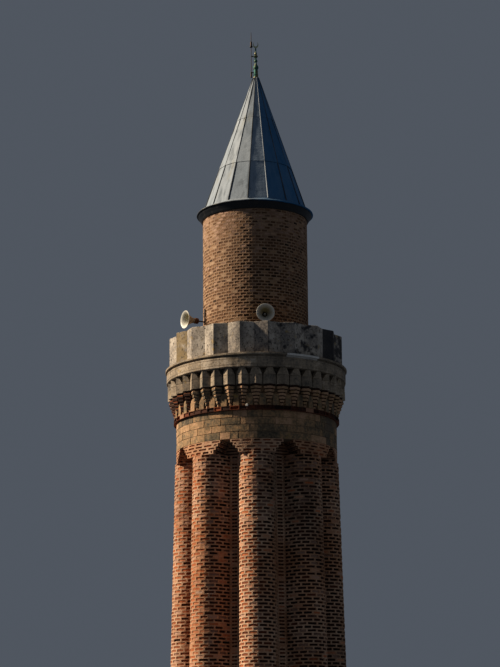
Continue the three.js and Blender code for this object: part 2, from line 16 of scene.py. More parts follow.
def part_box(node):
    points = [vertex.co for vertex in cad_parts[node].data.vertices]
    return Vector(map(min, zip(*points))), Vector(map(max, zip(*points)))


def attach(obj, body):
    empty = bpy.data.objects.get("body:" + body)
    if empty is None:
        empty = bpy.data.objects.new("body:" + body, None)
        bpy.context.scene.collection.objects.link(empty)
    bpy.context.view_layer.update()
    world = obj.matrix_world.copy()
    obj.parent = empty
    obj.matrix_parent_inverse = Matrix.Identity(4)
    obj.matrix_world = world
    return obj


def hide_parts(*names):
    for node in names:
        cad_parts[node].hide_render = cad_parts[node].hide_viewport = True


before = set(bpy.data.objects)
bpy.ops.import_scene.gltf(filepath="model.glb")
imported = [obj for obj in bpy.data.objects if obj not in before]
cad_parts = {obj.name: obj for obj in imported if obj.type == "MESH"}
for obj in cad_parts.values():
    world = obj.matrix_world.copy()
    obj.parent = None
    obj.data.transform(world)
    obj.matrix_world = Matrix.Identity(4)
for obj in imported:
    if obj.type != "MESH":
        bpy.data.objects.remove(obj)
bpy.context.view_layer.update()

chance = np.random.default_rng(1571)

# %% [markdown]
# ## Camera
# The tower was seen from some way off, well below the balcony, through a long lens. A camera that far
# away shows the sides almost parallel, and the rings curve because they are seen from below. Its place
# was found by measuring how strongly the balcony's rings curve, and how much the sides close in.

# %% Place the camera
CAMERA_PLACE = (-0.183, -67.7, 11.91)
CAMERA_TILT = math.radians(13.5)
CAMERA_ROLL = math.radians(-0.42)
LENS = 118.7
FAR_CLIP = 2000

camera_data = bpy.data.cameras.new("camera")
camera_data.lens = LENS
camera_data.clip_end = FAR_CLIP
camera = bpy.data.objects.new("camera", camera_data)
bpy.context.scene.collection.objects.link(camera)
camera.location = CAMERA_PLACE
camera.rotation_mode = "QUATERNION"
tilted = Euler((math.radians(90) + CAMERA_TILT, 0, 0)).to_quaternion()
camera.rotation_quaternion = tilted @ Quaternion((0, 0, 1), CAMERA_ROLL)
bpy.context.scene.camera = camera
print("camera at", CAMERA_PLACE, "lens", LENS)

# %% [markdown]
# ## Light
# A low evening sun from the left rakes over the flutes, so each one has a bright flank and a dark one.
# One wide sun lamp gives that with soft edges, and an even dome of dim, bluish light fills the shade.
# The standard view gets some extra contrast, which keeps the shaded sides deep.

# %% Hang the lights
SUN_SIDE = math.radians(-93)
SUN_HEIGHT = math.radians(30)
SUN_POWER = 5.7
SUN_WIDTH = math.radians(4.5)
SUN_COLOUR = (1.0, 0.86, 0.68)
DOME_COLOUR = (0.089, 0.102, 0.123)

sun_data = bpy.data.lights.new("sun", "SUN")
sun_data.energy = SUN_POWER
sun_data.angle = SUN_WIDTH
sun_data.color = SUN_COLOUR
sun = bpy.data.objects.new("sun", sun_data)
bpy.context.scene.collection.objects.link(sun)
to_sun = Vector((
    math.sin(SUN_SIDE) * math.cos(SUN_HEIGHT),
    -math.cos(SUN_SIDE) * math.cos(SUN_HEIGHT),
    math.sin(SUN_HEIGHT),
))
sun.rotation_mode = "QUATERNION"
sun.rotation_quaternion = to_sun.to_track_quat("Z", "Y")

world = bpy.data.worlds.new("dome")
bpy.context.scene.world = world
world.use_nodes = True
world.node_tree.nodes["Background"].inputs["Color"].default_value = (*DOME_COLOUR, 1)
bpy.context.scene.view_settings.view_transform = "Standard"
bpy.context.scene.view_settings.look = "Medium High Contrast"
print("sun from", [round(v, 2) for v in to_sun])

# %% [markdown]
# ## Writing materials as maths
# A material is a small network of nodes. Written link by link it is hard to read, so one class wraps an
# output socket and lets plain signs add the Math nodes: `1 - stain * 0.5` makes two of them. Colours
# are mixed by a Mix node instead, because a Math node keeps only one number of a colour.

# %% Wrap sockets and nodes
class Value:
    """An output socket that can be added, subtracted and multiplied like a number."""

    def __init__(self, finish, socket):
        self.finish = finish
        self.socket = socket

    def maths(self, operation, *terms):
        return self.finish.node("ShaderNodeMath", {"operation": operation}, dict(enumerate(terms)))

    def __add__(self, other):
        return self.maths("ADD", self, other)

    def __sub__(self, other):
        return self.maths("SUBTRACT", self, other)

    def __rsub__(self, other):
        return self.maths("SUBTRACT", other, self)

    def __mul__(self, other):
        return self.maths("MULTIPLY", self, other)

    __radd__ = __add__
    __rmul__ = __mul__

    def between(self, low, high):
        """0 up to low and 1 from high on, with a soft step between them."""
        settings = {"interpolation_type": "SMOOTHSTEP"}
        return self.finish.node("ShaderNodeMapRange", settings, {"Value": self, 1: low, 2: high})


def set_stops(ramp, stops):
    """Gives a colour ramp its stops, each a place and a colour."""
    while len(ramp.elements) < len(stops):
        ramp.elements.new(1)
    for element, (place, colour) in zip(ramp.elements, stops):
        element.position = place
        element.color = (*colour, 1)


class Finish:
    """A material while it is being made."""

    def __init__(self, name):
        self.material = bpy.data.materials.new(name)
        self.material.use_nodes = True
        self.tree = self.material.node_tree
        self.tree.nodes.clear()
        self.place = self.node("ShaderNodeTexCoord", output="Object")

    def node(self, kind, settings=None, sockets=None, output=0):
        """Adds a node, sets it up, then fills its sockets with values or links."""
        made = self.tree.nodes.new(kind)
        for name, value in (settings or {}).items():
            if name == "stops":
                set_stops(made.color_ramp, value)
            else:
                setattr(made, name, value)
        for name, value in (sockets or {}).items():
            socket = made.inputs[name]
            if isinstance(value, Value):
                self.tree.links.new(value.socket, socket)
            elif socket.type == "RGBA":
                socket.default_value = (*value, 1)
            else:
                socket.default_value = value
        return Value(self, made.outputs[output]) if made.outputs else None

    def noise(self, scale, detail=4, stretch=(1, 1, 1)):
        """Cloudy noise from 0 to 1, with about `scale` clouds a metre."""
        size = tuple(scale * s for s in stretch)
        where = self.node("ShaderNodeMapping", {}, {"Vector": self.place, "Scale": size})
        return self.node("ShaderNodeTexNoise", {}, {"Vector": where, "Scale": 1.0, "Detail": detail})

    def own(self, name):
        """A number that the mesh carries for each face."""
        return self.node("ShaderNodeAttribute", {"attribute_name": name}, output="Fac")

    def ramp(self, value, stops):
        return self.node("ShaderNodeValToRGB", {"stops": stops}, {"Fac": value})

    def mix(self, first, second, share, blend="MIX"):
        settings = {"data_type": "RGBA", "blend_type": blend}
        return self.node("ShaderNodeMix", settings, {0: share, 6: first, 7: second}, output=2)

    def shade(self, colour, amount):
        """The colour times a number, as dirt or wear does."""
        grey = self.node("ShaderNodeCombineXYZ", {}, {0: amount, 1: amount, 2: amount})
        return self.mix(colour, grey, 1.0, "MULTIPLY")

    def bump(self, height, distance):
        return self.node("ShaderNodeBump", {}, {"Height": height, "Distance": distance})

    def done(self, colour, roughness, normal=None, metallic=0.0):
        """Ends the network in the shader and gives the material."""
        sockets = {"Base Color": colour, "Roughness": roughness, "Metallic": metallic}
        if normal:
            sockets["Normal"] = normal
        shader = self.node("ShaderNodeBsdfPrincipled", {}, sockets)
        self.node("ShaderNodeOutputMaterial", {}, {"Surface": shader})
        print("finish:", self.material.name, "nodes:", len(self.tree.nodes))
        return self.material

# %% [markdown]
# ## Fired brick
# The bricks were fired in a kiln that was hotter at its core, so no two have the same red. Each face
# carries a `tone` for that, and a `smear` for the lime that has run over some of them. A colour ramp
# turns the tone into a red, and soft noise adds mottling and soot, finer than any mesh could hold. The
# shaft's bricks are redder than the tan ones of the upper stage, so each has a ramp of its own.

# %% Mix the brick
LIME = (0.42, 0.27, 0.2)


def fired_brick(name, stops, soot_depth=0.4):
    finish = Finish(name)
    mottled = finish.own("tone") + (finish.noise(11, 3) - 0.5) * 0.34
    colour = finish.ramp(mottled, stops)
    soot = finish.noise(0.5, 5, (1, 1, 0.45)).between(0.5, 0.72)
    colour = finish.shade(colour, 1 - soot * soot_depth)
    limed = (finish.own("smear") + (finish.noise(4, 4) - 0.5) * 0.9).between(0.3, 0.85)
    colour = finish.mix(colour, LIME, limed * 0.8)
    grain = finish.noise(60, 5) * 0.6 + finish.noise(260, 2) * 0.4
    return finish.done(colour, 0.95 - limed * 0.08, finish.bump(grain, 0.006))


SHAFT_REDS = [
    (0.0, (0.02, 0.009, 0.006)),
    (0.3, (0.07, 0.024, 0.013)),
    (0.5, (0.21, 0.062, 0.026)),
    (0.75, (0.41, 0.128, 0.046)),
    (1.0, (0.47, 0.26, 0.16)),
]
UPPER_REDS = [
    (0.0, (0.03, 0.016, 0.01)),
    (0.35, (0.17, 0.085, 0.042)),
    (0.75, (0.31, 0.185, 0.1)),
    (1.0, (0.42, 0.29, 0.19)),
]
shaft_brick = fired_brick("shaft_brick", SHAFT_REDS)
upper_brick = fired_brick("upper_brick", UPPER_REDS, 0.25)

# %% [markdown]
# ## Lime mortar
# The joints are wide, and the mortar has outlasted the bricks, so it stands out as a pale net. It is
# lime and coarse sand: pale where rain washes it, brown where dust sits. Large noise sets the patches
# and fine noise the sand.

# %% Mix the mortar
def lime_mortar(name, pale, worn, dirt_depth=0.45, rusty=0.0):
    finish = Finish(name)
    patches = finish.noise(1.7, 6) * 0.55 + finish.noise(13, 3) * 0.45
    colour = finish.ramp(patches, [(0.34, worn), (0.6, pale)])
    if rusty:
        stain = finish.noise(0.8, 5, (1, 1, 0.6)).between(0.45, 0.62)
        colour = finish.mix(colour, (0.4, 0.155, 0.05), stain * rusty)
    dirt = finish.noise(0.42, 6, (1, 1, 0.35)).between(0.48, 0.7)
    colour = finish.shade(colour, 1 - dirt * dirt_depth)
    sand = finish.noise(45, 6) * 0.7 + finish.noise(300, 2) * 0.3
    return finish.done(colour, 0.97, finish.bump(sand, 0.012))


shaft_mortar = lime_mortar("shaft_mortar", (0.62, 0.42, 0.285), (0.42, 0.235, 0.14), rusty=0.5)
upper_mortar = lime_mortar("upper_mortar", (0.37, 0.245, 0.155), (0.26, 0.155, 0.095), 0.3)
stone_mortar = lime_mortar("stone_mortar", (0.3, 0.205, 0.125), (0.17, 0.115, 0.07))

# %% [markdown]
# ## Dressed stone
# The same ochre sandstone is used below the bricks, in the collar and, paler, in the balcony. Rain and
# lichen change it block by block, so the tone comes from each block, a brown or black crust follows
# the smear, and small yellow and dark spots are scattered by sharp noise. Where the stones are laid,
# the tone is lowered and the smear raised on the side away from the sun, so the darkening there is
# partly real crust and partly painted shade. A smear below 0 asks for ochre lichen instead. The
# parapet's stone has the blackest crust, and one slab of the balcony is a much whiter stone of its own.

# %% Mix the stone
BROWN_CRUST = (0.15, 0.115, 0.08)
BLACK_CRUST = (0.024, 0.023, 0.028)
OCHRE_LICHEN = (0.24, 0.165, 0.06)
YELLOW_LICHEN = (0.36, 0.24, 0.07)
DARK_SPOT = (0.045, 0.042, 0.038)


def dressed_stone(name, stops, spot_depth, crust_size=1.4, crust_colour=BROWN_CRUST, edge=(0.35, 0.75)):
    finish = Finish(name)
    mottled = finish.own("tone") + (finish.noise(3.2, 6) - 0.5) * 1.3 + (finish.noise(15, 5) - 0.5) * 1.2
    colour = finish.ramp(mottled, stops)
    streak = finish.noise(2.1, 5, (1, 1, 0.22)).between(0.5, 0.74)
    colour = finish.shade(colour, 1 - streak * 0.38)
    yellow = finish.noise(6.5, 3).between(0.6, 0.68) * finish.noise(0.9, 2).between(0.45, 0.6)
    colour = finish.mix(colour, YELLOW_LICHEN, yellow * 0.55)
    ochre = (0 - finish.own("smear")) * finish.noise(4.5, 5).between(0.4, 0.56)
    colour = finish.mix(colour, OCHRE_LICHEN, ochre)
    spots = finish.noise(16, 4).between(0.58, 0.66) * spot_depth
    # The crust follows the smear, which is raised away from the sun: partly real crust, partly painted
    # shade.
    shade_and_crust = (finish.own("smear") + (finish.noise(crust_size, 6) - 0.5) * 1.3).between(*edge)
    colour = finish.mix(colour, DARK_SPOT, spots)
    colour = finish.mix(colour, crust_colour, shade_and_crust * 0.85)
    grain = finish.noise(30, 6) * 0.7 + finish.noise(190, 3) * 0.3
    return finish.done(colour, 0.93, finish.bump(grain, 0.01))


OCHRES = [
    (0.0, (0.075, 0.062, 0.044)),
    (0.35, (0.19, 0.14, 0.085)),
    (0.65, (0.36, 0.225, 0.118)),
    (1.0, (0.5, 0.31, 0.19)),
]
CREAMS = [
    (0.0, (0.1, 0.09, 0.076)),
    (0.4, (0.26, 0.212, 0.16)),
    (0.75, (0.36, 0.285, 0.205)),
    (1.0, (0.49, 0.41, 0.32)),
]
GREYS = [
    (0.0, (0.085, 0.08, 0.08)),
    (0.4, (0.24, 0.212, 0.188)),
    (0.75, (0.4, 0.345, 0.285)),
    (1.0, (0.52, 0.46, 0.39)),
]
WHITES = [(0.0, (0.55, 0.52, 0.47)), (1.0, (0.72, 0.68, 0.62))]
ashlar = dressed_stone("ashlar", OCHRES, 0.25)
pale_stone = dressed_stone("pale_stone", CREAMS, 0.5)
white_stone = dressed_stone("white_stone", WHITES, 0.2)
lichen_stone = dressed_stone("lichen_stone", GREYS, 0.8, 4.4, BLACK_CRUST, (0.42, 0.62))

# %% [markdown]
# ## Lead
# The roof is clad in lead sheet that has gone dull and chalky. It is still a metal, so it is a little
# glossy, and each sheet has weathered to its own grey. Rain draws long streaks down it, a painted
# reflection of a blue sky lies on the side away from the sun where the smear asks for it, and the
# hammered surface ripples, which is a bump here and a real bend in the mesh further down.

# %% Mix the metals
LEAD_GREYS = [
    (0.0, (0.02, 0.026, 0.034)),
    (0.2, (0.09, 0.11, 0.14)),
    (0.5, (0.23, 0.27, 0.31)),
    (1.0, (0.42, 0.435, 0.44)),
]
PAINTED_SKY_BLUE = (0.014, 0.14, 0.3)
VERDIGRIS = (0.05, 0.15, 0.125)


def weathered_lead():
    finish = Finish("lead_sheet")
    colour = finish.ramp(finish.own("tone") + (finish.noise(1.1, 5) - 0.5) * 0.5, LEAD_GREYS)
    streak = finish.noise(7, 5, (1, 1, 0.07)).between(0.46, 0.7)
    colour = finish.shade(colour, 1 - streak * 0.3)
    moss = finish.noise(2.6, 5, (1, 1, 0.3)).between(0.57, 0.72)
    colour = finish.mix(colour, (0.2, 0.17, 0.07), moss * 0.35)
    # Painted reflection: the blue of a sky reflected in the lead, laid in where the smear asks for it.
    sky_reflection = finish.own("smear") * (finish.noise(3, 5, (1, 1, 0.3)) * 0.4 + 0.75)
    colour = finish.mix(colour, PAINTED_SKY_BLUE, sky_reflection)
    dents = finish.noise(5, 3, (1, 1, 2.2)) * 0.8 + finish.noise(60, 3) * 0.2
    return finish.done(colour, 0.66 + streak * 0.15, finish.bump(dents, 0.012))


def dark_paint_and_shade():
    finish = Finish("dark_moulding")
    worn = finish.noise(3, 6).between(0.55, 0.75)
    # Near-black: the moulding's dark paint, made darker still to stand for the brim's shadow, a painted
    # shadow.
    colour = finish.mix((0.007, 0.008, 0.01), (0.03, 0.027, 0.026), worn)
    return finish.done(colour, 0.5 + worn * 0.25, finish.bump(finish.noise(30, 4), 0.004))


def old_gilding(name, worn, bright, green_from):
    finish = Finish(name)
    green = finish.noise(9, 6).between(green_from, green_from + 0.22)
    metal = finish.ramp(finish.noise(22, 4), [(0.3, worn), (0.7, bright)])
    colour = finish.mix(metal, VERDIGRIS, green)
    colour = finish.shade(colour, 1 - finish.noise(4, 5).between(0.5, 0.7) * 0.5)
    return finish.done(colour, 0.42 + green * 0.3, finish.bump(finish.noise(70, 4), 0.004), 0.55)


HORN_TONES = [
    (0.0, (0.05, 0.042, 0.025)),
    (0.3, (0.25, 0.21, 0.075)),
    (0.6, (0.4, 0.38, 0.3)),
    (1.0, (0.64, 0.62, 0.55)),
]


def horn_enamel():
    finish = Finish("horn_enamel")
    colour = finish.ramp(finish.own("tone"), HORN_TONES)
    rust = finish.noise(24, 5).between(0.58, 0.7)
    colour = finish.mix(colour, (0.2, 0.085, 0.03), rust * 0.7)
    return finish.done(colour, 0.5 + rust * 0.3, finish.bump(finish.noise(120, 3), 0.001))


def rusty_iron(name, rust_depth, base=(0.02, 0.018, 0.017)):
    finish = Finish(name)
    rust = finish.noise(18, 6).between(0.42, 0.66) * rust_depth
    colour = finish.mix(base, (0.26, 0.11, 0.045), rust)
    return finish.done(colour, 0.55 + rust * 0.35, finish.bump(finish.noise(90, 4), 0.003), 0.4)


lead = weathered_lead()
dark_moulding = dark_paint_and_shade()
gilding = old_gilding("gilt_patina", (0.13, 0.1, 0.045), (0.3, 0.25, 0.12), 0.34)
bright_gilding = old_gilding("bright_gilding", (0.42, 0.42, 0.22), (0.62, 0.62, 0.4), 0.55)
enamel = horn_enamel()
iron = rusty_iron("dark_iron", 0.25)
rust = rusty_iron("rusty_iron", 0.9, (0.1, 0.045, 0.02))

# %% [markdown]
# ## Plaster and paving
# The insides show only through the doorways: a rough lime plaster, and flagstones on the floor.

# %% Mix the plaster and paving
def plain_ground(name, pale, dark):
    finish = Finish(name)
    colour = finish.ramp(finish.noise(1.9, 6), [(0.3, dark), (0.7, pale)])
    return finish.done(colour, 0.94, finish.bump(finish.noise(26, 5), 0.01))


plaster = plain_ground("inner_plaster", (0.36, 0.3, 0.23), (0.22, 0.17, 0.12))
paving = plain_ground("paving", (0.3, 0.25, 0.19), (0.17, 0.14, 0.1))
floor_finish = plain_ground("studio_floor", (0.64, 0.63, 0.61), (0.62, 0.61, 0.59))

# %% [markdown]
# ## A piece and its faces
# Thousands of bricks are quickest as arrays of numbers: the faces of a piece are gathered in one place
# with their material, tone and smear, then become one mesh. Every piece passes through a slow wave
# that moves points by a few millimetres, so that courses wander as hand-laid ones do. The wave
# depends only on where a point is, so neighbours move together and no crack opens between them.

# %% Move points a little
WANDER = 0.005
WAVES = ((7.1, 4.3, 9.7), (-5.9, 8.3, 13.1), (11.3, -7.7, 5.3), (3.7, 12.1, -8.9))


def wandered(points, size):
    """Points moved by a slow wave that depends only on their places."""
    shift = np.zeros_like(points)
    for i, wave in enumerate(WAVES):
        phase = points @ np.array(wave)
        shift += np.stack([np.sin(phase + i), np.sin(1.3 * phase + 2), np.sin(1.7 * phase + 4)], 1)
    near_ground = np.clip(points[:, 2:] / 0.5, 0, 1)
    return points + shift * near_ground * size / len(WAVES)


def span(node):
    """The lowest and highest level of a node of the frame."""
    low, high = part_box(node)
    return low.z, high.z


TIP_SHIFT = 0.07
LEAN_FOOT, LEAN_TOP = span("cone_roof")


def settled(points):
    """Points moved sideways over the roof's foot, because the cone leans a little."""
    share = np.clip((points[:, 2] - LEAN_FOOT) / (LEAN_TOP - LEAN_FOOT), 0, 1)
    return points + share[:, None] * (TIP_SHIFT, 0, 0)


print("the tip leans", TIP_SHIFT, "m over", round(LEAN_TOP - LEAN_FOOT, 2), "m")

# %% [markdown]
# A piece collects its points and faces, and makes them into a mesh in one go. Before that, points that
# coincide are joined, and faces without area are dropped, so nothing stray is left.

# %% Gather faces
totals = []


class Piece:
    """The faces of one piece, until they become a mesh."""

    def __init__(self, name, *finishes):
        self.name = name
        self.finishes = finishes
        self.points, self.corners = [], []
        self.looks, self.tones, self.smears = [], [], []
        self.count = 0

    def put(self, points):
        """Adds points and gives the number of the first one."""
        points = np.reshape(points, (-1, 3))
        self.points.append(points)
        self.count += len(points)
        return self.count - len(points)

    def join(self, corners, look=0, tone=0.5, smear=0.0):
        """Adds faces, with one look, tone and smear for all of them or one for each."""
        self.corners.extend(np.asarray(corners).tolist())
        for kept, value in ((self.looks, look), (self.tones, tone), (self.smears, smear)):
            kept.append(np.broadcast_to(np.ravel(value), len(corners)))

    def build(self, slot, *nodes, wander=WANDER, smooth=None):
        """Makes the mesh in the nodes' place. Edges over `smooth` degrees stay sharp."""
        points = settled(wandered(np.concatenate(self.points), wander))
        mesh = bpy.data.meshes.new(self.name)
        mesh.from_pydata(points.tolist(), [], self.corners)
        mesh.polygons.foreach_set("material_index", np.concatenate(self.looks).astype(np.int32))
        for name, kept in (("tone", self.tones), ("smear", self.smears)):
            layer = mesh.attributes.new(name, "FLOAT", "FACE")
            layer.data.foreach_set("value", np.concatenate(kept).astype(np.float32))
        for finish in self.finishes:
            mesh.materials.append(finish)
        drop_empty(mesh)
        if smooth:
            mesh.shade_smooth()
            mesh.set_sharp_from_angle(angle=math.radians(smooth))
        made = bpy.data.objects.new(self.name, mesh)
        bpy.context.scene.collection.objects.link(made)
        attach(made, "root")
        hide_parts(*nodes)
        triangles = sum(len(face.vertices) - 2 for face in mesh.polygons)
        totals.append(triangles)
        print("piece:", self.name, "triangles:", triangles)
        return made


def drop_empty(mesh):
    """Joins points that coincide, and drops faces without area and loose points."""
    shape = bmesh.new()
    shape.from_mesh(mesh)
    bmesh.ops.remove_doubles(shape, verts=shape.verts, dist=2e-5)
    empty = [face for face in shape.faces if face.calc_area() < 1e-8]
    bmesh.ops.delete(shape, geom=empty, context="FACES")
    loose = [point for point in shape.verts if not point.link_faces]
    bmesh.ops.delete(shape, geom=loose, context="VERTS")
    shape.to_mesh(mesh)
    shape.free()

# %% [markdown]
# ## Places on a wall
# It is easier to lay bricks on a flat drawing than in space. So every face of the tower gets a function
# that takes u to the right along the face, d out of it and z up, and gives the point in space. The
# same brick can then go on a flat wall, a round one or a flute.

# %% Find places on a face
def spun(x, y, z, azimuth):
    """Points turned round the tower's axis. Azimuth 0 looks towards -Y and 90 towards +X."""
    turn = math.radians(azimuth)
    x, y, z = np.broadcast_arrays(x, y, z)
    return np.stack([
        x * math.cos(turn) - y * math.sin(turn),
        x * math.sin(turn) + y * math.cos(turn),
        z,
    ], -1)


def facing(distance, azimuth):
    """A flat face at a distance from the axis that looks towards an azimuth."""
    return lambda u, d, z: spun(u, -(distance + d), z, azimuth)


def rounded(radius, azimuth=0):
    """A round wall. u is the length along it from an azimuth."""
    return lambda u, d, z: spun(
        (radius + d) * np.sin(u / radius), -(radius + d) * np.cos(u / radius), z, azimuth
    )


def lying(radius, level):
    """A level floor round the axis. u runs along its rim, d up and z in from the rim."""
    return lambda u, d, z: spun(
        (radius - z) * np.sin(u / radius), -(radius - z) * np.cos(u / radius), level + d, 0
    )


def along_arch(place, centre_u, centre_z, radius):
    """An arch on a face, seen from within it: u runs along the arch and z out from its centre."""
    return lambda u, d, z: place(
        centre_u + (radius + z) * np.cos(u / radius), d, centre_z + (radius + z) * np.sin(u / radius)
    )


def set_back(place, depth):
    """The same face, a little further in."""
    return lambda u, d, z: place(u, d - depth, z)


def mirrored(place):
    """The same face with u the other way round."""
    return lambda u, d, z: place(-u, d, z)


print("one metre round a wall of radius 2:", rounded(2)(1, 0, 0).round(3))

# %% [markdown]
# ## Sheets, prisms and stones
# Three shapes make everything that isn't laid in courses. A sheet is a grid of points. A prism carries
# an outline from one depth to another. A stone runs along a face with a section of its own, and its
# ends are worn a little smaller, which is what catches the light on real blocks.

# %% Make sheets, prisms and stones
def sheet(piece, points, look=0, tone=0.5, smear=0.0, wrap=False):
    """Adds a grid of points as faces. Rows go up and columns to the right, seen from outside."""
    points = np.asarray(points)
    rows, columns = points.shape[:2]
    numbers = piece.put(points) + np.arange(rows * columns).reshape(rows, columns)
    if wrap:
        numbers = np.hstack([numbers, numbers[:, :1]])
    quads = np.stack([numbers[:-1, :-1], numbers[:-1, 1:], numbers[1:, 1:], numbers[1:, :-1]], -1)
    piece.join(quads.reshape(-1, 4), look, tone, smear)


def turned(piece, profile, sides=96, start=0.0, look=0, tone=0.5, centre=(0, 0)):
    """Turns a profile of radius and height pairs round an upright line. It runs up the outside."""
    radius, height = np.array(profile, float).T[:, :, None]
    azimuth = np.radians(start + np.arange(sides) * 360 / sides)
    x = centre[0] + radius * np.sin(azimuth)
    y = centre[1] - radius * np.cos(azimuth)
    sheet(piece, np.stack([x, y, height + 0 * x], -1), look, tone, wrap=True)


def ring_core(piece, outer, well, low, high, sides=96, start=0.0, look=0):
    """The top, well and underside of a ring whose outside is made apart."""
    profile = [(outer, high), (well, high), (well, low), (outer, low)]
    turned(piece, profile, sides, start, look)


def prism(piece, place, outline, back, front, look=0, tone=0.5, smear=0.0):
    """Carries an outline of (u, z) points from a depth to another. It goes round anticlockwise."""
    u, z = np.array(outline, float).T
    depth = np.array([back, front])[:, None]
    grid = place(u[None] + 0 * depth, depth + 0 * u[None], z[None] + 0 * depth)
    sheet(piece, grid, look, tone, smear, wrap=True)
    for points in (grid[0, ::-1], grid[1]):
        first = piece.put(points)
        piece.join([list(range(first, first + len(u)))], look, tone, smear)


def worn_box(back, front, low, high, worn, worn_level=None):
    """The section of a stone with its corners cut off, from its foot up."""
    b, c = worn, worn_level or worn
    return [
        (front, low + c), (front, high - c), (front - b, high), (back + b, high),
        (back, high - c), (back, low + c), (back + b, low), (front - b, low),
    ]


def stone(piece, place, left, right, section, parts=1, worn=0.01, unit=1.0, look=0, tone=0.5, smear=0.0):
    """A stone from left to right along a face. `unit` is the length in metres of one step of u."""
    section = np.array(section, float)
    centre = (section.min(0) + section.max(0)) / 2
    size = section.max(0) - section.min(0)
    small = centre + (section - centre) * (1 - 2 * worn / np.maximum(size, 3 * worn))
    marks = [left, *np.linspace(left + worn / unit, right - worn / unit, parts + 1), right]
    sections = np.stack([small, *[section] * (parts + 1), small], 1)
    rows = np.vstack([sections, sections[:1]])
    u = np.array(marks)[None] + 0 * rows[..., 0]
    sheet(piece, place(u, rows[..., 0], rows[..., 1]), look, tone, smear)
    for end, order in ((0, 1), (-1, -1)):
        ends = sections[::order, end]
        first = piece.put(place(marks[end] + 0 * ends[:, 0], ends[:, 0], ends[:, 1]))
        piece.join([list(range(first, first + len(ends)))], look, tone, smear)

# %% [markdown]
# ## One brick in its mortar
# A cell is one brick with its share of the joints round it: a rim of mortar on the wall's face, a step
# down to the brick, and the brick's own face with worn corners. Written as fractions of a cell, one
# pattern serves all cells at once. A dressed block is the same with the step going outwards.

# %% Draw one cell
def cell_pattern(parts):
    """The faces of a cell: its rim, its corners, its steps and its floor."""
    top, ring = parts + 1, 2 * parts + 6
    mouth = 2 * top
    low = [mouth + i for i in range(top)]
    right = [mouth + top, mouth + top + 1]
    high = [mouth + top + 2 + i for i in range(top)][::-1]
    left = [mouth + ring - 1, mouth + ring - 2]
    rim = [(i, i + 1, low[i + 1], low[i]) for i in range(parts)]
    rim += [(top + i + 1, top + i, high[i], high[i + 1]) for i in range(parts)]
    rim += [(parts, top + parts, right[1], right[0]), (top, 0, left[0], left[1])]
    corners = [
        (0, low[0], left[0]),
        (parts, right[0], low[-1]),
        (top + parts, high[-1], right[1]),
        (top, left[1], high[0]),
    ]
    steps = [(i, (i + 1) % ring, ring + (i + 1) % ring, ring + i) for i in range(ring)]
    steps = [tuple(mouth + n for n in face) for face in steps]
    floor = [(low[i], low[i + 1], high[i + 1], high[i]) for i in range(parts)]
    floor += [(left[0], low[0], high[0], left[1]), (low[-1], right[0], right[1], high[-1])]
    floor = [tuple(n + ring for n in face) for face in floor]
    return rim, corners, steps, floor


print("faces of a cell:", [len(faces) for faces in cell_pattern(2)])

# %% [markdown]
# Cells are laid by the hundred: their sizes come in as one table, and every corner is shaken by a few
# millimetres, so that no two bricks have quite the same outline. Where a wall is cut between two nodes,
# the cell there has no joint, and its step is left out.

# %% Lay cells
def cells(piece, place, cuts, depth, tone, smear=0.0, joint=(0.04, 0.024), worn=0.012, slope=0.006,
          parts=2, shake=0.004, level=0.0, looks=(0, 0, 1), closed=(1, 1)):
    """Lays cells on a face.

    Each row of cuts is a cell: its left and right end at its low, the same at its high, its low and
    its high. `depth` is how far the brick lies behind the mortar, and is negative for a stone that
    stands out. `joint` is half the upright joint and half the bed. `looks` are those of the mortar,
    the step and the brick. `closed` says whether there is a joint on the left and on the right.
    """
    if len(cuts) == 0:
        return
    cuts = np.asarray(cuts, float)
    left_low, right_low, left_high, right_high, low, high = (cuts[:, i, None] for i in range(6))
    width = np.maximum((right_low - left_low + right_high - left_high) / 2, 0.02)
    height = high - low
    from_left, from_right = (np.minimum(joint[0] / width, 0.3) * share for share in closed)
    cut_left, cut_right = (np.minimum(worn / width, 0.1) * share for share in closed)
    bed, cut = np.minimum(joint[1] / height, 0.4), worn / height
    along = np.linspace(0, 1, parts + 1)[None]
    row = from_left + cut_left + (1 - from_left - from_right - cut_left - cut_right) * along
    flat = 0 * row
    right, left = 1 - from_right, from_left
    across = np.hstack([row, right, right, row[:, ::-1], left, left])
    upward = np.hstack([bed + flat, bed + cut, 1 - bed - cut, 1 - bed + flat, 1 - bed - cut, bed + cut])
    free = (across > 1e-6) & (across < 1 - 1e-6)
    across = across + chance.uniform(-shake, shake, across.shape) / width * free
    upward = upward + chance.uniform(-shake, shake, upward.shape) / height * free
    inner_across = across + np.sign(0.5 - across) * np.minimum(slope / width, 0.08) * free
    inner_upward = upward + np.sign(0.5 - upward) * np.minimum(slope / height, 0.12)
    rim = along + flat
    across = np.hstack([rim, rim, across, inner_across])
    upward = np.hstack([flat, 1 + flat, upward, inner_upward])
    u_low = left_low + across * (right_low - left_low)
    u_high = left_high + across * (right_high - left_high)
    ring = inner_across.shape[1]
    out = np.full(across.shape, float(level))
    out[:, -ring:] -= np.reshape(depth, (-1, 1)) + chance.normal(0, 0.0015, (len(cuts), ring)) * free
    points = place(u_low + (u_high - u_low) * upward, out, low + upward * height)
    first = piece.put(points) + np.arange(len(cuts)) * across.shape[1]
    rims, corners, steps, floor = cell_pattern(parts)
    if not closed[0]:
        steps = steps[:-3]
    if not closed[1]:
        steps = steps[:parts] + steps[parts + 3:]
    tone, smear = (np.broadcast_to(value, len(cuts)) for value in (tone, smear))
    for faces, look in ((rims, looks[0]), (corners, looks[0]), (steps, looks[1]), (floor, looks[2])):
        numbers = first[:, None, None] + np.array(faces)[None]
        many = len(faces)
        piece.join(numbers.reshape(-1, len(faces[0])), look, tone.repeat(many), smear.repeat(many))


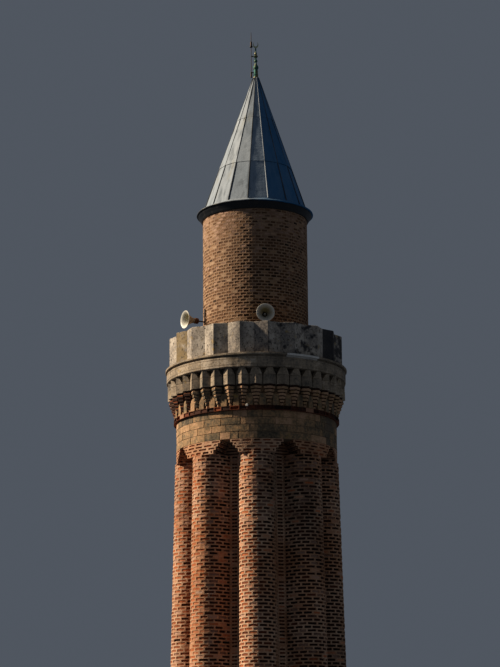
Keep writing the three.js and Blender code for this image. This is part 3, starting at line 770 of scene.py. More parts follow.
# %% [markdown]
# A wall is cut into courses of equal height, and each course into bricks whose joints lie over the
# middle of the bricks below. The joints stray a little, and a wall may lean in or follow an arch.

# %% Cut a wall into bricks
def courses(low, high, height):
    """Bed lines from low to high for courses of about a height."""
    return np.linspace(low, high, max(1, round((high - low) / height)) + 1)


def end_at(end, z):
    """Where a wall ends at a height. The end is a number, or a function of the height."""
    return end(z) if callable(end) else end


def bond(lines, left, right, length, vary=0.1, shift=0):
    """Cuts a wall into half-bonded bricks, between its left and its right end."""
    cuts = []
    for row, (low, high) in enumerate(zip(lines, lines[1:])):
        ends = [end_at(end, z) for end in (left, right) for z in (low, high)]
        start, stop = (ends[0] + ends[1]) / 2, (ends[2] + ends[3]) / 2
        many = max(1, round((stop - start) / length))
        pitch = (stop - start) / many
        offset = 0.5 if (row + shift) % 2 else 1
        marks = start + pitch * (offset + np.arange(many))
        marks = marks + chance.uniform(-vary, vary, many) * pitch
        inside = (marks > max(ends[:2]) + 0.2 * pitch) & (marks < min(ends[2:]) - 0.2 * pitch)
        marks = marks[inside]
        lows = [ends[0], *marks, ends[2]]
        highs = [ends[1], *marks, ends[3]]
        cuts += [
            (a, b, c, d, low, high) for a, b, c, d in zip(lows, lows[1:], highs, highs[1:])
            if b + d - a - c > 0.02
        ]
    return np.array(cuts).reshape(-1, 6)


print("courses of 0.1 in 1 m:", len(courses(0, 1, 0.1)) - 1)

# %% [markdown]
# Not all sides are alike. On the side away from the sun frost has worn the bricks back, and there
# bricks and stones are also given darker tones, which is painted shade, and the stones carry more
# crust, partly real and partly painted shade. A few bricks are as good as new, and a few have gone.

# %% Share out frost, crust and painted shade by side
def signed(azimuth):
    """An azimuth from -180 to 180."""
    return (azimuth + 180) % 360 - 180


def shade_and_crust(azimuth):
    """How far a side lies in shade: 0 towards the sun and 1 on the right. It sets painted shade, frost
    and crust.
    """
    share = np.interp(signed(azimuth), (-12, 75, 120, 178), (0, 1, 1, 0))
    return share * share * (3 - 2 * share)


def near(mean, spread=0.1, count=None):
    """Random shares near a mean, kept between 0 and 1."""
    return np.clip(mean + chance.normal(0, spread, count), 0, 1)


def fired(count, mean=0.5, spread=0.14, side=0.4):
    """Depths and tones of bricks: frost has worn most of them back, a few are flush or have gone.
    On the shaded side the tones are darker, which is painted shade.
    """
    depth = chance.uniform(0.014, 0.034, count) * (0.55 + 1.2 * np.asarray(side))
    # Painted shade: the further a brick lies on the shaded side, the darker its tone.
    tone = chance.normal(mean, spread, count) - (np.asarray(side) - 0.4) * 0.6
    flush = chance.random(count) < 0.07
    gone = chance.random(count) < 0.012
    depth = np.where(flush, 0.004, np.where(gone, 0.055, depth))
    tone = np.where(flush, chance.uniform(0.75, 1, count), np.where(gone, 0.18, tone))
    return depth, np.clip(tone, 0, 1)


def limed(count, share=0.12):
    """How much lime has run over each brick."""
    return np.where(chance.random(count) < share, chance.uniform(0.5, 0.95, count), 0.05)


print("crust at the front, right, back and left:", shade_and_crust(np.array([0, 90, 180, -90])).round(2))

# %% [markdown]
# ## The fluted shaft
# Eight half-round flutes stand round the shaft, laid in the same courses as the flat strips in the
# grooves between them. The shaft leans in by a tenth, so every course shrinks about the axis: the
# bricks' places are worked out on the lowest course and scaled. Each strip is one brick wide and
# belongs half to the flute on either side, so both halves of such a brick take the same chance.

# %% Measure the flutes
SIDES = 8
SIDE_ANGLE = 360 / SIDES
SHAFT_LOW = span("flute_1")[0]
SHAFT_HIGH = 23.94
REACH_LOW, REACH_HIGH = -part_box("flute_1")[0].y, 2.55
STRIP_SHARE = 0.7
STRIP_HALF = 0.12
FLUTE_RADIUS = 0.6
COURSE = 0.1063
FLUTE_BRICK = 0.322
SHAFT_JOINT = (0.025, 0.0185)
SHADE_TURN = 36
LIMED_ABOVE = 21.8


def lean_in(z):
    """How much smaller the shaft's plan is at a level than at its foot."""
    return 1 - (1 - REACH_HIGH / REACH_LOW) * (z - SHAFT_LOW) / (SHAFT_HIGH - SHAFT_LOW)


edge_out, edge_across = STRIP_SHARE * REACH_LOW, STRIP_HALF
groove_turn = math.radians(SIDE_ANGLE / 2)
edge_x = edge_out * math.sin(groove_turn) - edge_across * math.cos(groove_turn)
edge_y = edge_out * math.cos(groove_turn) + edge_across * math.sin(groove_turn)
FLUTE_CENTRE = REACH_LOW - FLUTE_RADIUS
quarter = FLUTE_RADIUS * math.pi / 2
flank = math.hypot(edge_x - FLUTE_RADIUS, edge_y - FLUTE_CENTRE)
flute_half = quarter + flank
print("flute: quarter arc", round(quarter, 3), "flank", round(flank, 3))


def flute_point(path):
    """Where a path along a flute lies at the shaft's foot, beside and out, and which way it faces."""
    angle = np.clip(path, -quarter, quarter) / FLUTE_RADIUS
    along = np.maximum(np.abs(path) - quarter, 0) / flank
    hand = np.sign(path)
    beside = FLUTE_RADIUS * np.sin(angle) + hand * along * (edge_x - FLUTE_RADIUS)
    out = FLUTE_CENTRE + FLUTE_RADIUS * np.cos(angle) + along * (edge_y - FLUTE_CENTRE)
    on_flank = along > 0
    face_beside = np.where(on_flank, hand * (FLUTE_CENTRE - edge_y) / flank, np.sin(angle))
    face_out = np.where(on_flank, (edge_x - FLUTE_RADIUS) / flank, np.cos(angle))
    return beside, out, face_beside, face_out


def on_flute(azimuth):
    """A flute's face: a half circle and two flanks. u is the length along it at the shaft's foot."""
    def place(u, d, z):
        beside, out, face_beside, face_out = flute_point(u)
        scale = lean_in(z)
        return spun(beside * scale + face_beside * d, -(out * scale + face_out * d), z, azimuth)
    return place


def on_strip(azimuth):
    """The flat strip in a groove."""
    return lambda u, d, z: spun(u * lean_in(z), -(edge_out * lean_in(z) + d), z, azimuth)

# %% [markdown]
# Up a groove runs a strip of one brick a course. At the top the grooves end under a stepped head: four
# courses reach out over each groove, each one further than the one below, until they carry the round
# collar.

# %% Lay the strips and heads
HEAD_RADIUS = 2.51
HEAD_LAP = 0.02
HEAD_TOP = span("flute_1")[1]
HEAD_STEPS = 4
RECESS_HALVES = [0.165 + 0.08 * step for step in range(HEAD_STEPS)]
WELL = 1.15
UPPER_WELL = 1.035

shaft_lines = courses(SHAFT_LOW, SHAFT_HIGH, COURSE)
head_lines = np.linspace(HEAD_TOP, SHAFT_HIGH, HEAD_STEPS + 1)
strip_count = len(shaft_lines) - 1
strip_chances = [(*fired(strip_count, 0.3), limed(strip_count, 0.05)) for _ in range(SIDES)]


def lay_strip(piece, azimuth, chances, left, right, closed):
    """One half of a groove's strip."""
    depth, tone, smear = chances
    cuts = [(left, right, left, right, low, high) for low, high in zip(shaft_lines, shaft_lines[1:])]
    cells(piece, on_strip(azimuth), cuts, depth, tone, smear, (0.02, 0.024), parts=1, closed=closed)


def lay_head(piece, azimuth):
    """The stepped courses over the two grooves beside a flute."""
    floor = STRIP_SHARE * REACH_HIGH
    for step, half in enumerate(RECESS_HALVES):
        high, low = head_lines[step], head_lines[step + 1]
        lap = HEAD_LAP if step == HEAD_STEPS - 1 else 0
        reach = HEAD_RADIUS * (groove_turn - math.asin(half / HEAD_RADIUS))
        cuts = bond([low - lap, high], -reach, reach, 0.33, shift=step)
        depth, tone = fired(len(cuts), 0.45)
        cells(piece, rounded(HEAD_RADIUS, azimuth), cuts, depth, tone, limed(len(cuts)))
        for hand in (-1, 1):
            groove = azimuth + hand * SIDE_ANGLE / 2
            out = math.sqrt(HEAD_RADIUS ** 2 - half ** 2)
            cuts = bond([low - lap, high], *sorted((-hand * floor, -hand * out)), 0.28, shift=step)
            depth, tone = fired(len(cuts), 0.35)
            cells(piece, facing(-half, groove + hand * 90), cuts, depth, tone, parts=1)
            start, stop = sorted((0, -hand * half))
            middle_open = (1, 0) if hand > 0 else (0, 1)
            cuts = [(start, stop, start, stop, low, high)]
            cells(piece, facing(floor, groove), cuts, [0.015], 0.3, parts=1, closed=middle_open)
            if step:
                across = np.array(sorted((-hand * half, -hand * RECESS_HALVES[step - 1])))
                outs = np.sqrt(HEAD_RADIUS ** 2 - across ** 2)
                sheet(piece, spun(across, -np.stack([0 * outs + floor, outs]), high, groove), 1, 0.3)


print("strip bricks in a groove:", strip_count, "head steps:", HEAD_STEPS)

# %% [markdown]
# Behind the bricks each flute is a closed wedge of masonry round the well. Its flat faces are drawn from
# a plan: the bricks' own outline in front, then the two sides, then the well.

# %% Close the wedges
def level_face(piece, points, level, upwards, look=0):
    """A level face with an outline of (x, y) points that goes round anticlockwise from above."""
    points = np.column_stack([np.array(points)[:, :2], np.full(len(points), level)])
    first = piece.put(points if upwards else points[::-1])
    piece.join([list(range(first, first + len(points)))], look)


def plan_point(x, out, azimuth):
    """A point of the plan, given beside and along the line towards an azimuth."""
    return spun(x, -out, 0, azimuth)[:2]


def wedge_plan(azimuth, front, sides, well):
    """The outline of a wedge of the shaft: its front, then its two sides and the well."""
    half = SIDE_ANGLE / 2
    back = [(half, sides), (half, well), (-half, well), (-half, sides)]
    corner = 1 / math.cos(groove_turn)
    backs = [plan_point(0, out * (corner if out == well else 1), azimuth + turn) for turn, out in back]
    return [*front, *backs]


def upright(piece, points, low_scale, low, high_scale, high, look=0):
    """The upright or leaning faces along a line of plan points."""
    points = np.array(points)[:, :2]
    ends = ((low_scale, low), (high_scale, high))
    rows = [np.column_stack([points * scale, np.full(len(points), z)]) for scale, z in ends]
    sheet(piece, rows, look)


print("a wedge's side lies at", round(edge_out, 3), "and its well at", WELL)

# %% [markdown]
# Now a flute can be built whole: its bricks, half a strip on either side, its head and its wedge. Lime
# has run down from the head, so more of the upper bricks are whitened.

# %% Build the flutes
def build_flute(number):
    azimuth = (number - 1) * SIDE_ANGLE
    piece = Piece(f"brick_flute_{number}", shaft_mortar, shaft_brick)
    cuts = bond(shaft_lines, -flute_half, flute_half, FLUTE_BRICK)
    faces_at = azimuth + np.degrees(np.clip(cuts[:, :2].mean(1), -quarter, quarter) / FLUTE_RADIUS)
    # Painted shade: bricks on a flute's shaded flank, and on the flutes away from the sun, get darker
    # tones.
    side = np.maximum(shade_and_crust(faces_at + SHADE_TURN), shade_and_crust(azimuth + SHADE_TURN / 2))
    depth, tone = fired(len(cuts), spread=0.11, side=side)
    smear = limed(len(cuts), np.where(cuts[:, 4] > LIMED_ABOVE, 0.4, 0.12))
    cells(piece, on_flute(azimuth), cuts, depth, tone, smear, SHAFT_JOINT, slope=0.004)
    lay_strip(piece, azimuth - SIDE_ANGLE / 2, strip_chances[number - 1], 0, STRIP_HALF, (0, 1))
    lay_strip(piece, azimuth + SIDE_ANGLE / 2, strip_chances[number % SIDES], -STRIP_HALF, 0, (1, 0))
    lay_head(piece, azimuth)
    paths = [-flute_half, *np.linspace(-quarter, quarter, 21), flute_half]
    front = on_flute(azimuth)(np.array(paths), 0, SHAFT_LOW)[:, :2]
    plan = wedge_plan(azimuth, front, edge_out, WELL)
    taper = REACH_HIGH / REACH_LOW
    level_face(piece, plan, SHAFT_LOW, False)
    level_face(piece, np.array(plan) * taper, SHAFT_HIGH, True)
    upright(piece, plan[-4:], 1, SHAFT_LOW, taper, SHAFT_HIGH)
    foot = SHAFT_HIGH - HEAD_LAP
    for half, level, upwards in ((RECESS_HALVES[-1], foot, False), (RECESS_HALVES[0], HEAD_TOP, True)):
        reach = HEAD_RADIUS * (groove_turn - math.asin(half / HEAD_RADIUS))
        arc = rounded(HEAD_RADIUS, azimuth)(np.linspace(-reach, reach, 9), 0, 0)[:, :2]
        floor = STRIP_SHARE * REACH_HIGH
        left = plan_point(half, floor, azimuth - SIDE_ANGLE / 2)
        right = plan_point(-half, floor, azimuth + SIDE_ANGLE / 2)
        plan = wedge_plan(azimuth, [left, *arc, right], floor, UPPER_WELL)
        level_face(piece, plan, level, upwards)
    upright(piece, plan[-4:], 1, foot, 1, HEAD_TOP)
    piece.build("shaft_brick", f"flute_{number}")


for number in range(1, SIDES + 1):
    build_flute(number)

# %% [markdown]
# ## The stone collar
# Over the flutes runs a round band of three ashlar courses. Its blocks are dressed by hand, so each
# one stands out a few millimetres from its thin joints. On the right, away from the sun, the blocks are
# darker and carry a dark crust, partly real and partly painted shade, and a pink lintel stone was let
# in over each groove.

# %% Lay the collar
PROUD = 0.012


def dressed(count, mean=0.55, spread=0.16):
    """How far stones stand out, as negative depths, and their tones."""
    return -chance.uniform(0.006, 0.014, count), near(mean, spread, count)


def turn_of(cuts, radius):
    """The azimuth of each cell of a round wall."""
    return np.degrees(cuts[:, :2].mean(1) / radius)


def lay_round_ashlar(piece, radius, lines, length, mean=0.55, dirt=0.5):
    """Dressed blocks round a wall, with their faces on the wall's own round."""
    around = 2 * math.pi * radius
    cuts = bond(lines, 0, around, length, 0.25)
    depth, tone = dressed(len(cuts), mean)
    side = shade_and_crust(turn_of(cuts, radius))
    # Painted shade: away from the sun the tone is lowered and the smear, and with it the crust, raised.
    tone = np.clip(tone - side * 0.15, 0, 1)
    smear = near(side * dirt, 0.12, len(cuts))
    place = rounded(radius - PROUD)
    cells(piece, place, cuts, depth, tone, smear, (0.006, 0.006), 0.014, parts=4, looks=(0, 1, 1))


LINTEL, LINTEL_HIGH = 0.33, 0.21
collar = Piece("ashlar_collar", stone_mortar, ashlar)
collar_low, collar_high = span("stone_collar")
lay_round_ashlar(collar, HEAD_RADIUS, courses(collar_low, collar_high, 0.22), 0.62)
ring_core(collar, HEAD_RADIUS - PROUD, UPPER_WELL, collar_low, collar_high)
for side in range(SIDES):
    left = math.radians((side + 0.5) * SIDE_ANGLE) * HEAD_RADIUS - LINTEL / 2
    box = worn_box(-0.1, 0.004, collar_low, collar_low + LINTEL_HIGH, 0.008)
    pinkness = 0.95 if side == SIDES - 1 else chance.uniform(0.5, 0.7)
    stone(collar, rounded(HEAD_RADIUS), left, left + LINTEL, box, 3, look=1, tone=pinkness, smear=0.1)
collar.build("ashlar", "stone_collar")

# %% [markdown]
# ## Pendants under the balcony
# The balcony is carried on forty brackets, each with a pendant under it. Both have a ridge down their
# middle between two slanting faces, so one face looks at the sun and the other is in shade. A pendant
# is an upside-down stair of bricks: every course is wider and reaches further than the one below it.
# All of them stand on one brick course, from which frost has taken nearly every third brick.

# %% Lay the foot course
FOOT_RISE, FOOT_RADIUS = 0.12, 2.592
GONE_SHARE, GONE_DEPTH = 0.3, 0.07
corbel_low, corbel_high = span("corbel_ring")
corbels = Piece("corbel_pendants", stone_mortar, ashlar, shaft_brick, shaft_mortar, white_stone)
pendant_foot = corbel_low + FOOT_RISE
lay_round_ashlar(corbels, HEAD_RADIUS, courses(pendant_foot, corbel_high, 0.22), 0.6, 0.4, 0.8)
cuts = bond([corbel_low, pendant_foot], 0, 2 * math.pi * FOOT_RADIUS, 0.27)
depth, tone = fired(len(cuts), 0.33)
depth = np.where(chance.random(len(cuts)) < GONE_SHARE, GONE_DEPTH, depth)
cells(corbels, rounded(FOOT_RADIUS), cuts, depth, tone, 0.1, (0.016, 0.012), looks=(2, 2, 2))
ring_core(corbels, FOOT_RADIUS, UPPER_WELL, corbel_low, pendant_foot, look=2)
ring_core(corbels, HEAD_RADIUS - PROUD, UPPER_WELL, pendant_foot, corbel_high)
print("bricks in the foot course:", len(cuts))

# %% [markdown]
# Pendants and brackets share one shape, a stone with a ridge in front. It is drawn as a plan with five
# corners and carried up through a few levels, each with its own width and reach.

# %% Shape a ridged stone
RIDGE_SLOPE = 0.65
TAIL = 0.05


def ridged(azimuth, z, half, reach):
    """The plan of a bracket or pendant at a level, from its left face round to its tail."""
    side, tail = reach - RIDGE_SLOPE * half, HEAD_RADIUS - TAIL
    across = np.array([-half, 0, half, half, -half])
    out = np.array([side, reach, side, tail, tail])
    return spun(across, -out, z, azimuth)


def ridged_stone(piece, azimuth, levels, worn=0.008, look=1, tone=0.5, smear=0.0):
    """A stone with a ridge. `levels` are its heights, each with half its width and its reach."""
    (low, *foot), (high, *head) = levels[0], levels[-1]
    rings = [(low, *(size - worn for size in foot)), (low + worn, *foot), *levels[1:-1]]
    rings += [(high - worn, *head), (high, *(size - worn for size in head))]
    plans = [ridged(azimuth, *ring) for ring in rings]
    sheet(piece, plans, look, tone, smear, wrap=True)
    for plan in (plans[0][::-1], plans[-1]):
        first = piece.put(plan)
        piece.join([list(range(first, first + len(plan)))], look, tone, smear)


print("on a stone 0.2 wide the ridge stands out by", round(RIDGE_SLOPE * 0.1, 3))

# %% [markdown]
# Towards the sun the pendants were pointed up with mortar, so their steps are shallow and pale. On the
# far left they are bare orange brick, and on the sheltered side the joints have washed out and the
# courses stand apart. Small pilasters stand in the gaps between the pendants.

# %% Build the pendants
PENDANTS = 40
FIRST_PENDANT = -0.3
PENDANT_STEP = 360 / PENDANTS
PENDANT_COURSES = 6
PENDANT_HALVES, PENDANT_REACHES = (0.045, 0.19), (2.545, 2.765)
TOP_GAP, TOP_INSET = 0.045, 0.05
SUN_EDGE, SUN_FADE, SUN_END = -12, 12, -125
ORANGE_EDGE = -48
PILASTER_HALF, PILASTER_HIGH = 0.1, 0.36


def lay_pendant(piece, azimuth):
    """A stair of bricks with a ridge."""
    lines = np.linspace(pendant_foot, corbel_high - TOP_GAP, PENDANT_COURSES + 1)
    sunny = np.clip((SUN_EDGE - azimuth) / SUN_FADE, 0, 1) * (azimuth > SUN_END)
    orange = 0.85 if SUN_END < azimuth < ORANGE_EDGE else 0
    for course, (low, high) in enumerate(zip(lines, lines[1:])):
        share = (course + 0.5) / PENDANT_COURSES
        half, reach = (a + (b - a) * share for a, b in (PENDANT_HALVES, PENDANT_REACHES))
        deep = 0.045 - 0.037 * sunny
        joint = 0.014 - 0.0105 * sunny
        core = [(level, half - deep * 0.6, reach - deep) for level in (low, high)]
        ridged_stone(piece, azimuth, core, 0.001, 1 if sunny > 0.5 > orange else 2, 0.12)
        half, reach = half - chance.uniform(0, 0.006), reach - chance.uniform(0, 0.008)
        look, smear = 1, 0
        if course and chance.random() < orange:
            look, smear = 2, 0.05
        # Towards the sun the stones' tones are lowered, a painted shade that damps their sunlit faces.
        tone = chance.uniform(0.6, 0.9) if look == 2 else chance.uniform(0.75, 1) - 0.12 * sunny
        spread = 0.012 if course else 0
        levels = [(low + joint, half - spread, reach - spread), (high - joint, half, reach)]
        ridged_stone(piece, azimuth, levels, 0.008, look, tone, smear)
    sizes = [widest - TOP_INSET for _, widest in (PENDANT_HALVES, PENDANT_REACHES)]
    top = [(level, *sizes) for level in (corbel_high - TOP_GAP, corbel_high)]
    ridged_stone(piece, azimuth, top, 0.001, 2, 0.2)


for i in range(PENDANTS):
    azimuth = signed(FIRST_PENDANT + i * PENDANT_STEP)
    lay_pendant(corbels, azimuth)
    pilaster_top = pendant_foot + PILASTER_HIGH + chance.uniform(0, 0.05)
    box = worn_box(-TAIL, 0.06, pendant_foot, pilaster_top, 0.01)
    place = facing(HEAD_RADIUS, azimuth + PENDANT_STEP / 2)
    half = PILASTER_HALF - chance.uniform(0, 0.01)
    # Painted shade: pilasters away from the sun get darker tones and more crust.
    tone = near(0.6 - shade_and_crust(azimuth) * 0.2)
    stone(corbels, place, -half, half, box, worn=0.006, look=1, tone=tone, smear=shade_and_crust(azimuth) * 0.4)
PATCH_AZIMUTH, PATCH_HALF = -6.4, 0.035
patch = worn_box(-TAIL, 0.115, pendant_foot - 0.03, pendant_foot + 0.045, 0.012)
stone(corbels, facing(HEAD_RADIUS, PATCH_AZIMUTH), -PATCH_HALF, PATCH_HALF, patch, look=4, tone=0.9)
corbels.build("shaft_brick", "corbel_ring")

# %% [markdown]
# ## Stone brackets
# On each pendant stands a bracket of two stones. The lower stones nearly touch each other, and the
# upper ones narrow, which leaves dark gaps under the cornice.

# %% Build the brackets
BRACKET_REACH = 2.79
BRACKET_HALF, BRACKET_TOP_HALF = 0.197, 0.095
BRACKET_PLAIN = 0.29
bracket_low, bracket_high = span("bracket_ring")
print("brackets:", round(bracket_high - bracket_low, 3), "high, plain for", BRACKET_PLAIN)
brackets = Piece("stone_brackets", stone_mortar, pale_stone)
bracket_lines = [bracket_low, bracket_low + BRACKET_PLAIN, bracket_high]
# The wall behind the brackets: dark tones and heavy crust, partly soot and partly painted shade in the
# gaps.
lay_round_ashlar(brackets, HEAD_RADIUS, bracket_lines, 0.7, 0.3, 0.9)
ring_core(brackets, HEAD_RADIUS - PROUD, UPPER_WELL, bracket_low, bracket_high)
for i in range(PENDANTS):
    azimuth = signed(FIRST_PENDANT + i * PENDANT_STEP)
    side = shade_and_crust(azimuth)
    halves = (BRACKET_HALF, BRACKET_HALF - 0.002, BRACKET_TOP_HALF + chance.uniform(-0.015, 0.01))
    for part, (low, high) in enumerate(zip(bracket_lines, bracket_lines[1:])):
        reach = BRACKET_REACH - chance.uniform(0, 0.01)
        levels = [(low + 0.003, halves[part], reach), (high - 0.003, halves[part + 1], reach)]
        # Away from the sun the brackets get lighter tones, painted light that lifts their shade, and more
        # crust.
        tone = near(0.52 + side * 0.12, 0.13)
        smear = near(side * 0.3, 0.12)
        ridged_stone(brackets, azimuth, levels, 0.006, 1, tone, smear)
brackets.build("pale_stone", "bracket_ring")

# %% [markdown]
# ## Cornice and balcony floor
# A plain curved band ties the brackets together. Its stones have two fine lines cut round them, and are
# laid as a ring: each one is bent between two joints, so its face is round and its ends are straight.

# %% Build the cornice
CORNICE_RADIUS = 2.815
CORNICE_STONES = 30
cornice_low, cornice_high = span("cornice_ring")
cornice = Piece("cornice_stones", stone_mortar, pale_stone)


def lined_section(low, high, deep):
    """The section of the cornice: a band with two fine lines."""
    section = [(0, low + 0.008)]
    for line in (low + 0.07, high - 0.06):
        section += [(0, line - 0.008), (-0.008, line - 0.003), (-0.008, line + 0.003), (0, line + 0.008)]
    return [*section, (0, high - 0.008), (-0.008, high), (-deep, high), (-deep, low), (-0.008, low)]


def lay_ring(piece, radius, marks, section, mean, dirt, lighter_slab=None):
    """Stones round a ring between joints at given azimuths. The one numbered `lighter_slab` is of a much
    whiter stone.
    """
    gap, worn = 0.0015, 0.004
    for number, (left, right) in enumerate(zip(marks, [*marks[1:], marks[0] + 360])):
        side = shade_and_crust(signed((left + right) / 2))
        # Painted shade: away from the sun the tone is lowered and the smear, and with it the crust,
        # raised.
        tone = near(mean - side * 0.1, 0.08)
        smear = near(side * dirt, 0.08)
        look = 2 if number == lighter_slab else 1
        start, stop = (math.radians(azimuth) * radius for azimuth in (left, right))
        parts = max(3, round((right - left) / 4))
        stone(piece, rounded(radius), start + gap, stop - gap, section, parts, worn,
              look=look, tone=tone, smear=smear)


marks = [i * 360 / CORNICE_STONES + chance.uniform(-1, 1) for i in range(CORNICE_STONES)]
lay_ring(cornice, CORNICE_RADIUS, marks, lined_section(cornice_low, cornice_high, 0.4), 0.6, 0.35)
turned(cornice, [
    (CORNICE_RADIUS - 0.015, cornice_low + 0.01), (CORNICE_RADIUS - 0.015, cornice_high - 0.01),
    (UPPER_WELL, cornice_high - 0.01), (UPPER_WELL, cornice_low + 0.01),
    (CORNICE_RADIUS - 0.015, cornice_low + 0.01),
])
cornice.build("pale_stone", "cornice_ring")

# %% [markdown]
# The balcony's floor lies on the cornice, with a thin lip that overhangs a little, and is paved on top.
# One slab in front, to the right, is of a much whiter stone.

# %% Lay the balcony's floor
SLABS = 27
LIP_HIGH = 0.058
PAVING_PROUD = 0.012
PAVING_EDGE = 1.12
LIP_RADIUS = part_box("balcony_floor")[1].x
LIGHT_SLAB = (19.4, 42.8)
DRIP_INSET = LIP_RADIUS - CORNICE_RADIUS + 0.05
slab_low, slab_high = span("balcony_floor")
lip = slab_low + LIP_HIGH
slabs = Piece("balcony_slabs", stone_mortar, pale_stone, white_stone)
slab_section = [
    (0, lip + 0.005), (0, slab_high - 0.008), (-0.008, slab_high), (-0.3, slab_high),
    (-0.3, slab_low), (-DRIP_INSET, slab_low), (-DRIP_INSET, lip), (-0.005, lip),
]
slab_turn = (360 - LIGHT_SLAB[1] + LIGHT_SLAB[0]) / SLABS
marks = [LIGHT_SLAB[1] + i * slab_turn for i in range(SLABS)] + [360 + LIGHT_SLAB[0]]
lay_ring(slabs, LIP_RADIUS, marks, slab_section, 0.62, 0.5, lighter_slab=SLABS)
core_radius, core_low, core_high = LIP_RADIUS - 0.28, slab_low + 0.004, slab_high - PAVING_PROUD
turned(slabs, [
    (core_radius, core_low), (core_radius, core_high), (UPPER_WELL, core_high), (UPPER_WELL, core_low),
    (core_radius, core_low),
])
paving_radius = LIP_RADIUS - 0.3
around = 2 * math.pi * paving_radius
cuts = bond(np.linspace(0, paving_radius - PAVING_EDGE, 4), 0, around, 0.8, 0.2)
depth, tone = dressed(len(cuts), 0.5)
cells(slabs, lying(paving_radius, core_high), cuts, depth, tone, 0.2, (0.006, 0.006), 0.008,
      parts=3, looks=(0, 1, 1))
slabs.build("pale_stone", "balcony_floor")

# %% [markdown]
# ## The folded parapet
# The balcony's screen is made of flat slabs that stand in a zigzag, so every second slab catches the
# sun and the next one is in shade. Each slab is a stone that runs from a ridge to a valley of the plan.
# Black lichen covers most of the sheltered ones, which are also given darker tones, a painted shade, and
# the slab that catches the sun in front gets little lichen, painted light that keeps it bright. One slab
# is all black, and one on the left is ochre.

# %% Stand the parapet's slabs
FOLDS = 20
FIRST_RIDGE = 7.6
RIDGE_RADIUS, VALLEY_RADIUS = 2.74, 2.59
OCHRE_SLAB, BLACK_SLAB = -60, 57
LICHEN_AND_SHADE_TURNS = (-180, 4, 12, 30, 100, 180)
LICHEN_AND_SHADE_SHARES = (0.1, 0.06, 0.42, 0.45, 0.58, 0.2)
SCREEN_THICK = 0.14
screen_low, screen_high = span("parapet")
parapet = Piece("parapet_slabs", lichen_stone)


def fold(i, inset=0.0):
    """A corner of the screen's plan."""
    radius = (VALLEY_RADIUS if i % 2 else RIDGE_RADIUS) - inset
    return spun(0, -radius, 0, FIRST_RIDGE + i * 180 / FOLDS)[:2]


def on_fold(i):
    """A slab's own face, with u from 0 to 1 and d from 0 at its face to -1 at its back."""
    front = np.array([fold(i), fold(i + 1)])
    back = np.array([fold(i, SCREEN_THICK), fold(i + 1, SCREEN_THICK)])

    def place(u, d, z):
        u, d, z = np.broadcast_arrays(u, d, z)
        u, depth = u[..., None], -d[..., None]
        near, far = (ends[0] * (1 - u) + ends[1] * u for ends in (front, back))
        flat = near * (1 - depth) + far * depth
        return np.concatenate([flat, z[..., None]], -1)
    return place


for i in range(2 * FOLDS):
    azimuth = signed(FIRST_RIDGE + (i + 0.5) * 180 / FOLDS)
    side = shade_and_crust(azimuth)
    width = np.linalg.norm(fold(i + 1) - fold(i))
    box = worn_box(-1, 0, screen_low, screen_high, 0.1, 0.014)
    # Painted shade: slabs away from the sun get darker tones. The lichen shares by side are partly real
    # lichen and partly painted shade and light.
    tone = near(0.72 - side * 0.12)
    smear = np.interp(azimuth, LICHEN_AND_SHADE_TURNS, LICHEN_AND_SHADE_SHARES) + chance.normal(0, 0.07)
    if abs(azimuth - OCHRE_SLAB) < 90 / FOLDS:
        tone, smear = 0.6, -0.7
    if abs(azimuth - BLACK_SLAB) < 90 / FOLDS:
        smear = 0.9
    stone(parapet, on_fold(i), 0.004, 0.996, box, 3, 0.008, width, tone=tone, smear=smear)
parapet.build("pale_stone", "parapet")

# %% [markdown]
# ## The upper stage
# The round wall over the balcony is laid in smaller bricks, fifty-four to a course. Its four parts meet
# in a toothed joint, brick by brick, so nothing shows there. A low doorway at the back leads out to the
# balcony. Near the top the mortar was smeared over the bricks, so the wall looks smooth there.

# %% Lay the upper stage
STAGE_RADIUS = 1.666
STAGE_WELL = 1.1
STAGE_JOINT = 60
BALCONY_DOOR_HALF = 0.35
stage_low, stage_high = span("upper_wall_front")
door_head = span("upper_wall_over_door")[0]
STAGE_BRICKS = 54
stage_lines = np.hstack([courses(stage_low, door_head, 0.098), courses(door_head, stage_high, 0.098)[1:]])
door_turn = math.degrees(math.asin(BALCONY_DOOR_HALF / STAGE_RADIUS))
STAGE_PARTS = {
    "upper_wall_front": (-STAGE_JOINT, STAGE_JOINT),
    "upper_wall_right": (STAGE_JOINT, 180 - door_turn),
    "upper_wall_over_door": (180 - door_turn, 180 + door_turn),
    "upper_wall_left": (180 + door_turn, 360 - STAGE_JOINT),
}


def stage_cuts(start, stop):
    """The bricks of one part of the upper stage."""
    cuts = []
    pitch = 360 / STAGE_BRICKS
    for row, (low, high) in enumerate(zip(stage_lines, stage_lines[1:])):
        marks = np.arange(-STAGE_BRICKS, 2 * STAGE_BRICKS) * pitch + pitch / 2 * (row % 2)
        for left in marks:
            if start <= left + pitch / 2 + 1e-6 < stop:
                ends = [left, left + pitch]
                if abs(start - 180) < STAGE_JOINT or start > 180:
                    ends = [max(ends[0], start), ends[1]]
                if abs(stop - 180) < STAGE_JOINT:
                    ends = [ends[0], min(ends[1], stop)]
                a, b = (math.radians(end) * STAGE_RADIUS for end in ends)
                cuts.append((a, b, a, b, low, high))
    return np.array(cuts)


def shaded_share(azimuth):
    """How much a brick lies in shade: 0 towards the sun and 1 on the shaded side. It sets deeper bricks
    and darker tones, the tones being painted shade.
    """
    return np.interp(signed(azimuth), (-180, -160, -22, 6, 160, 180), (0.5, 0, 0, 1, 1, 0.5))


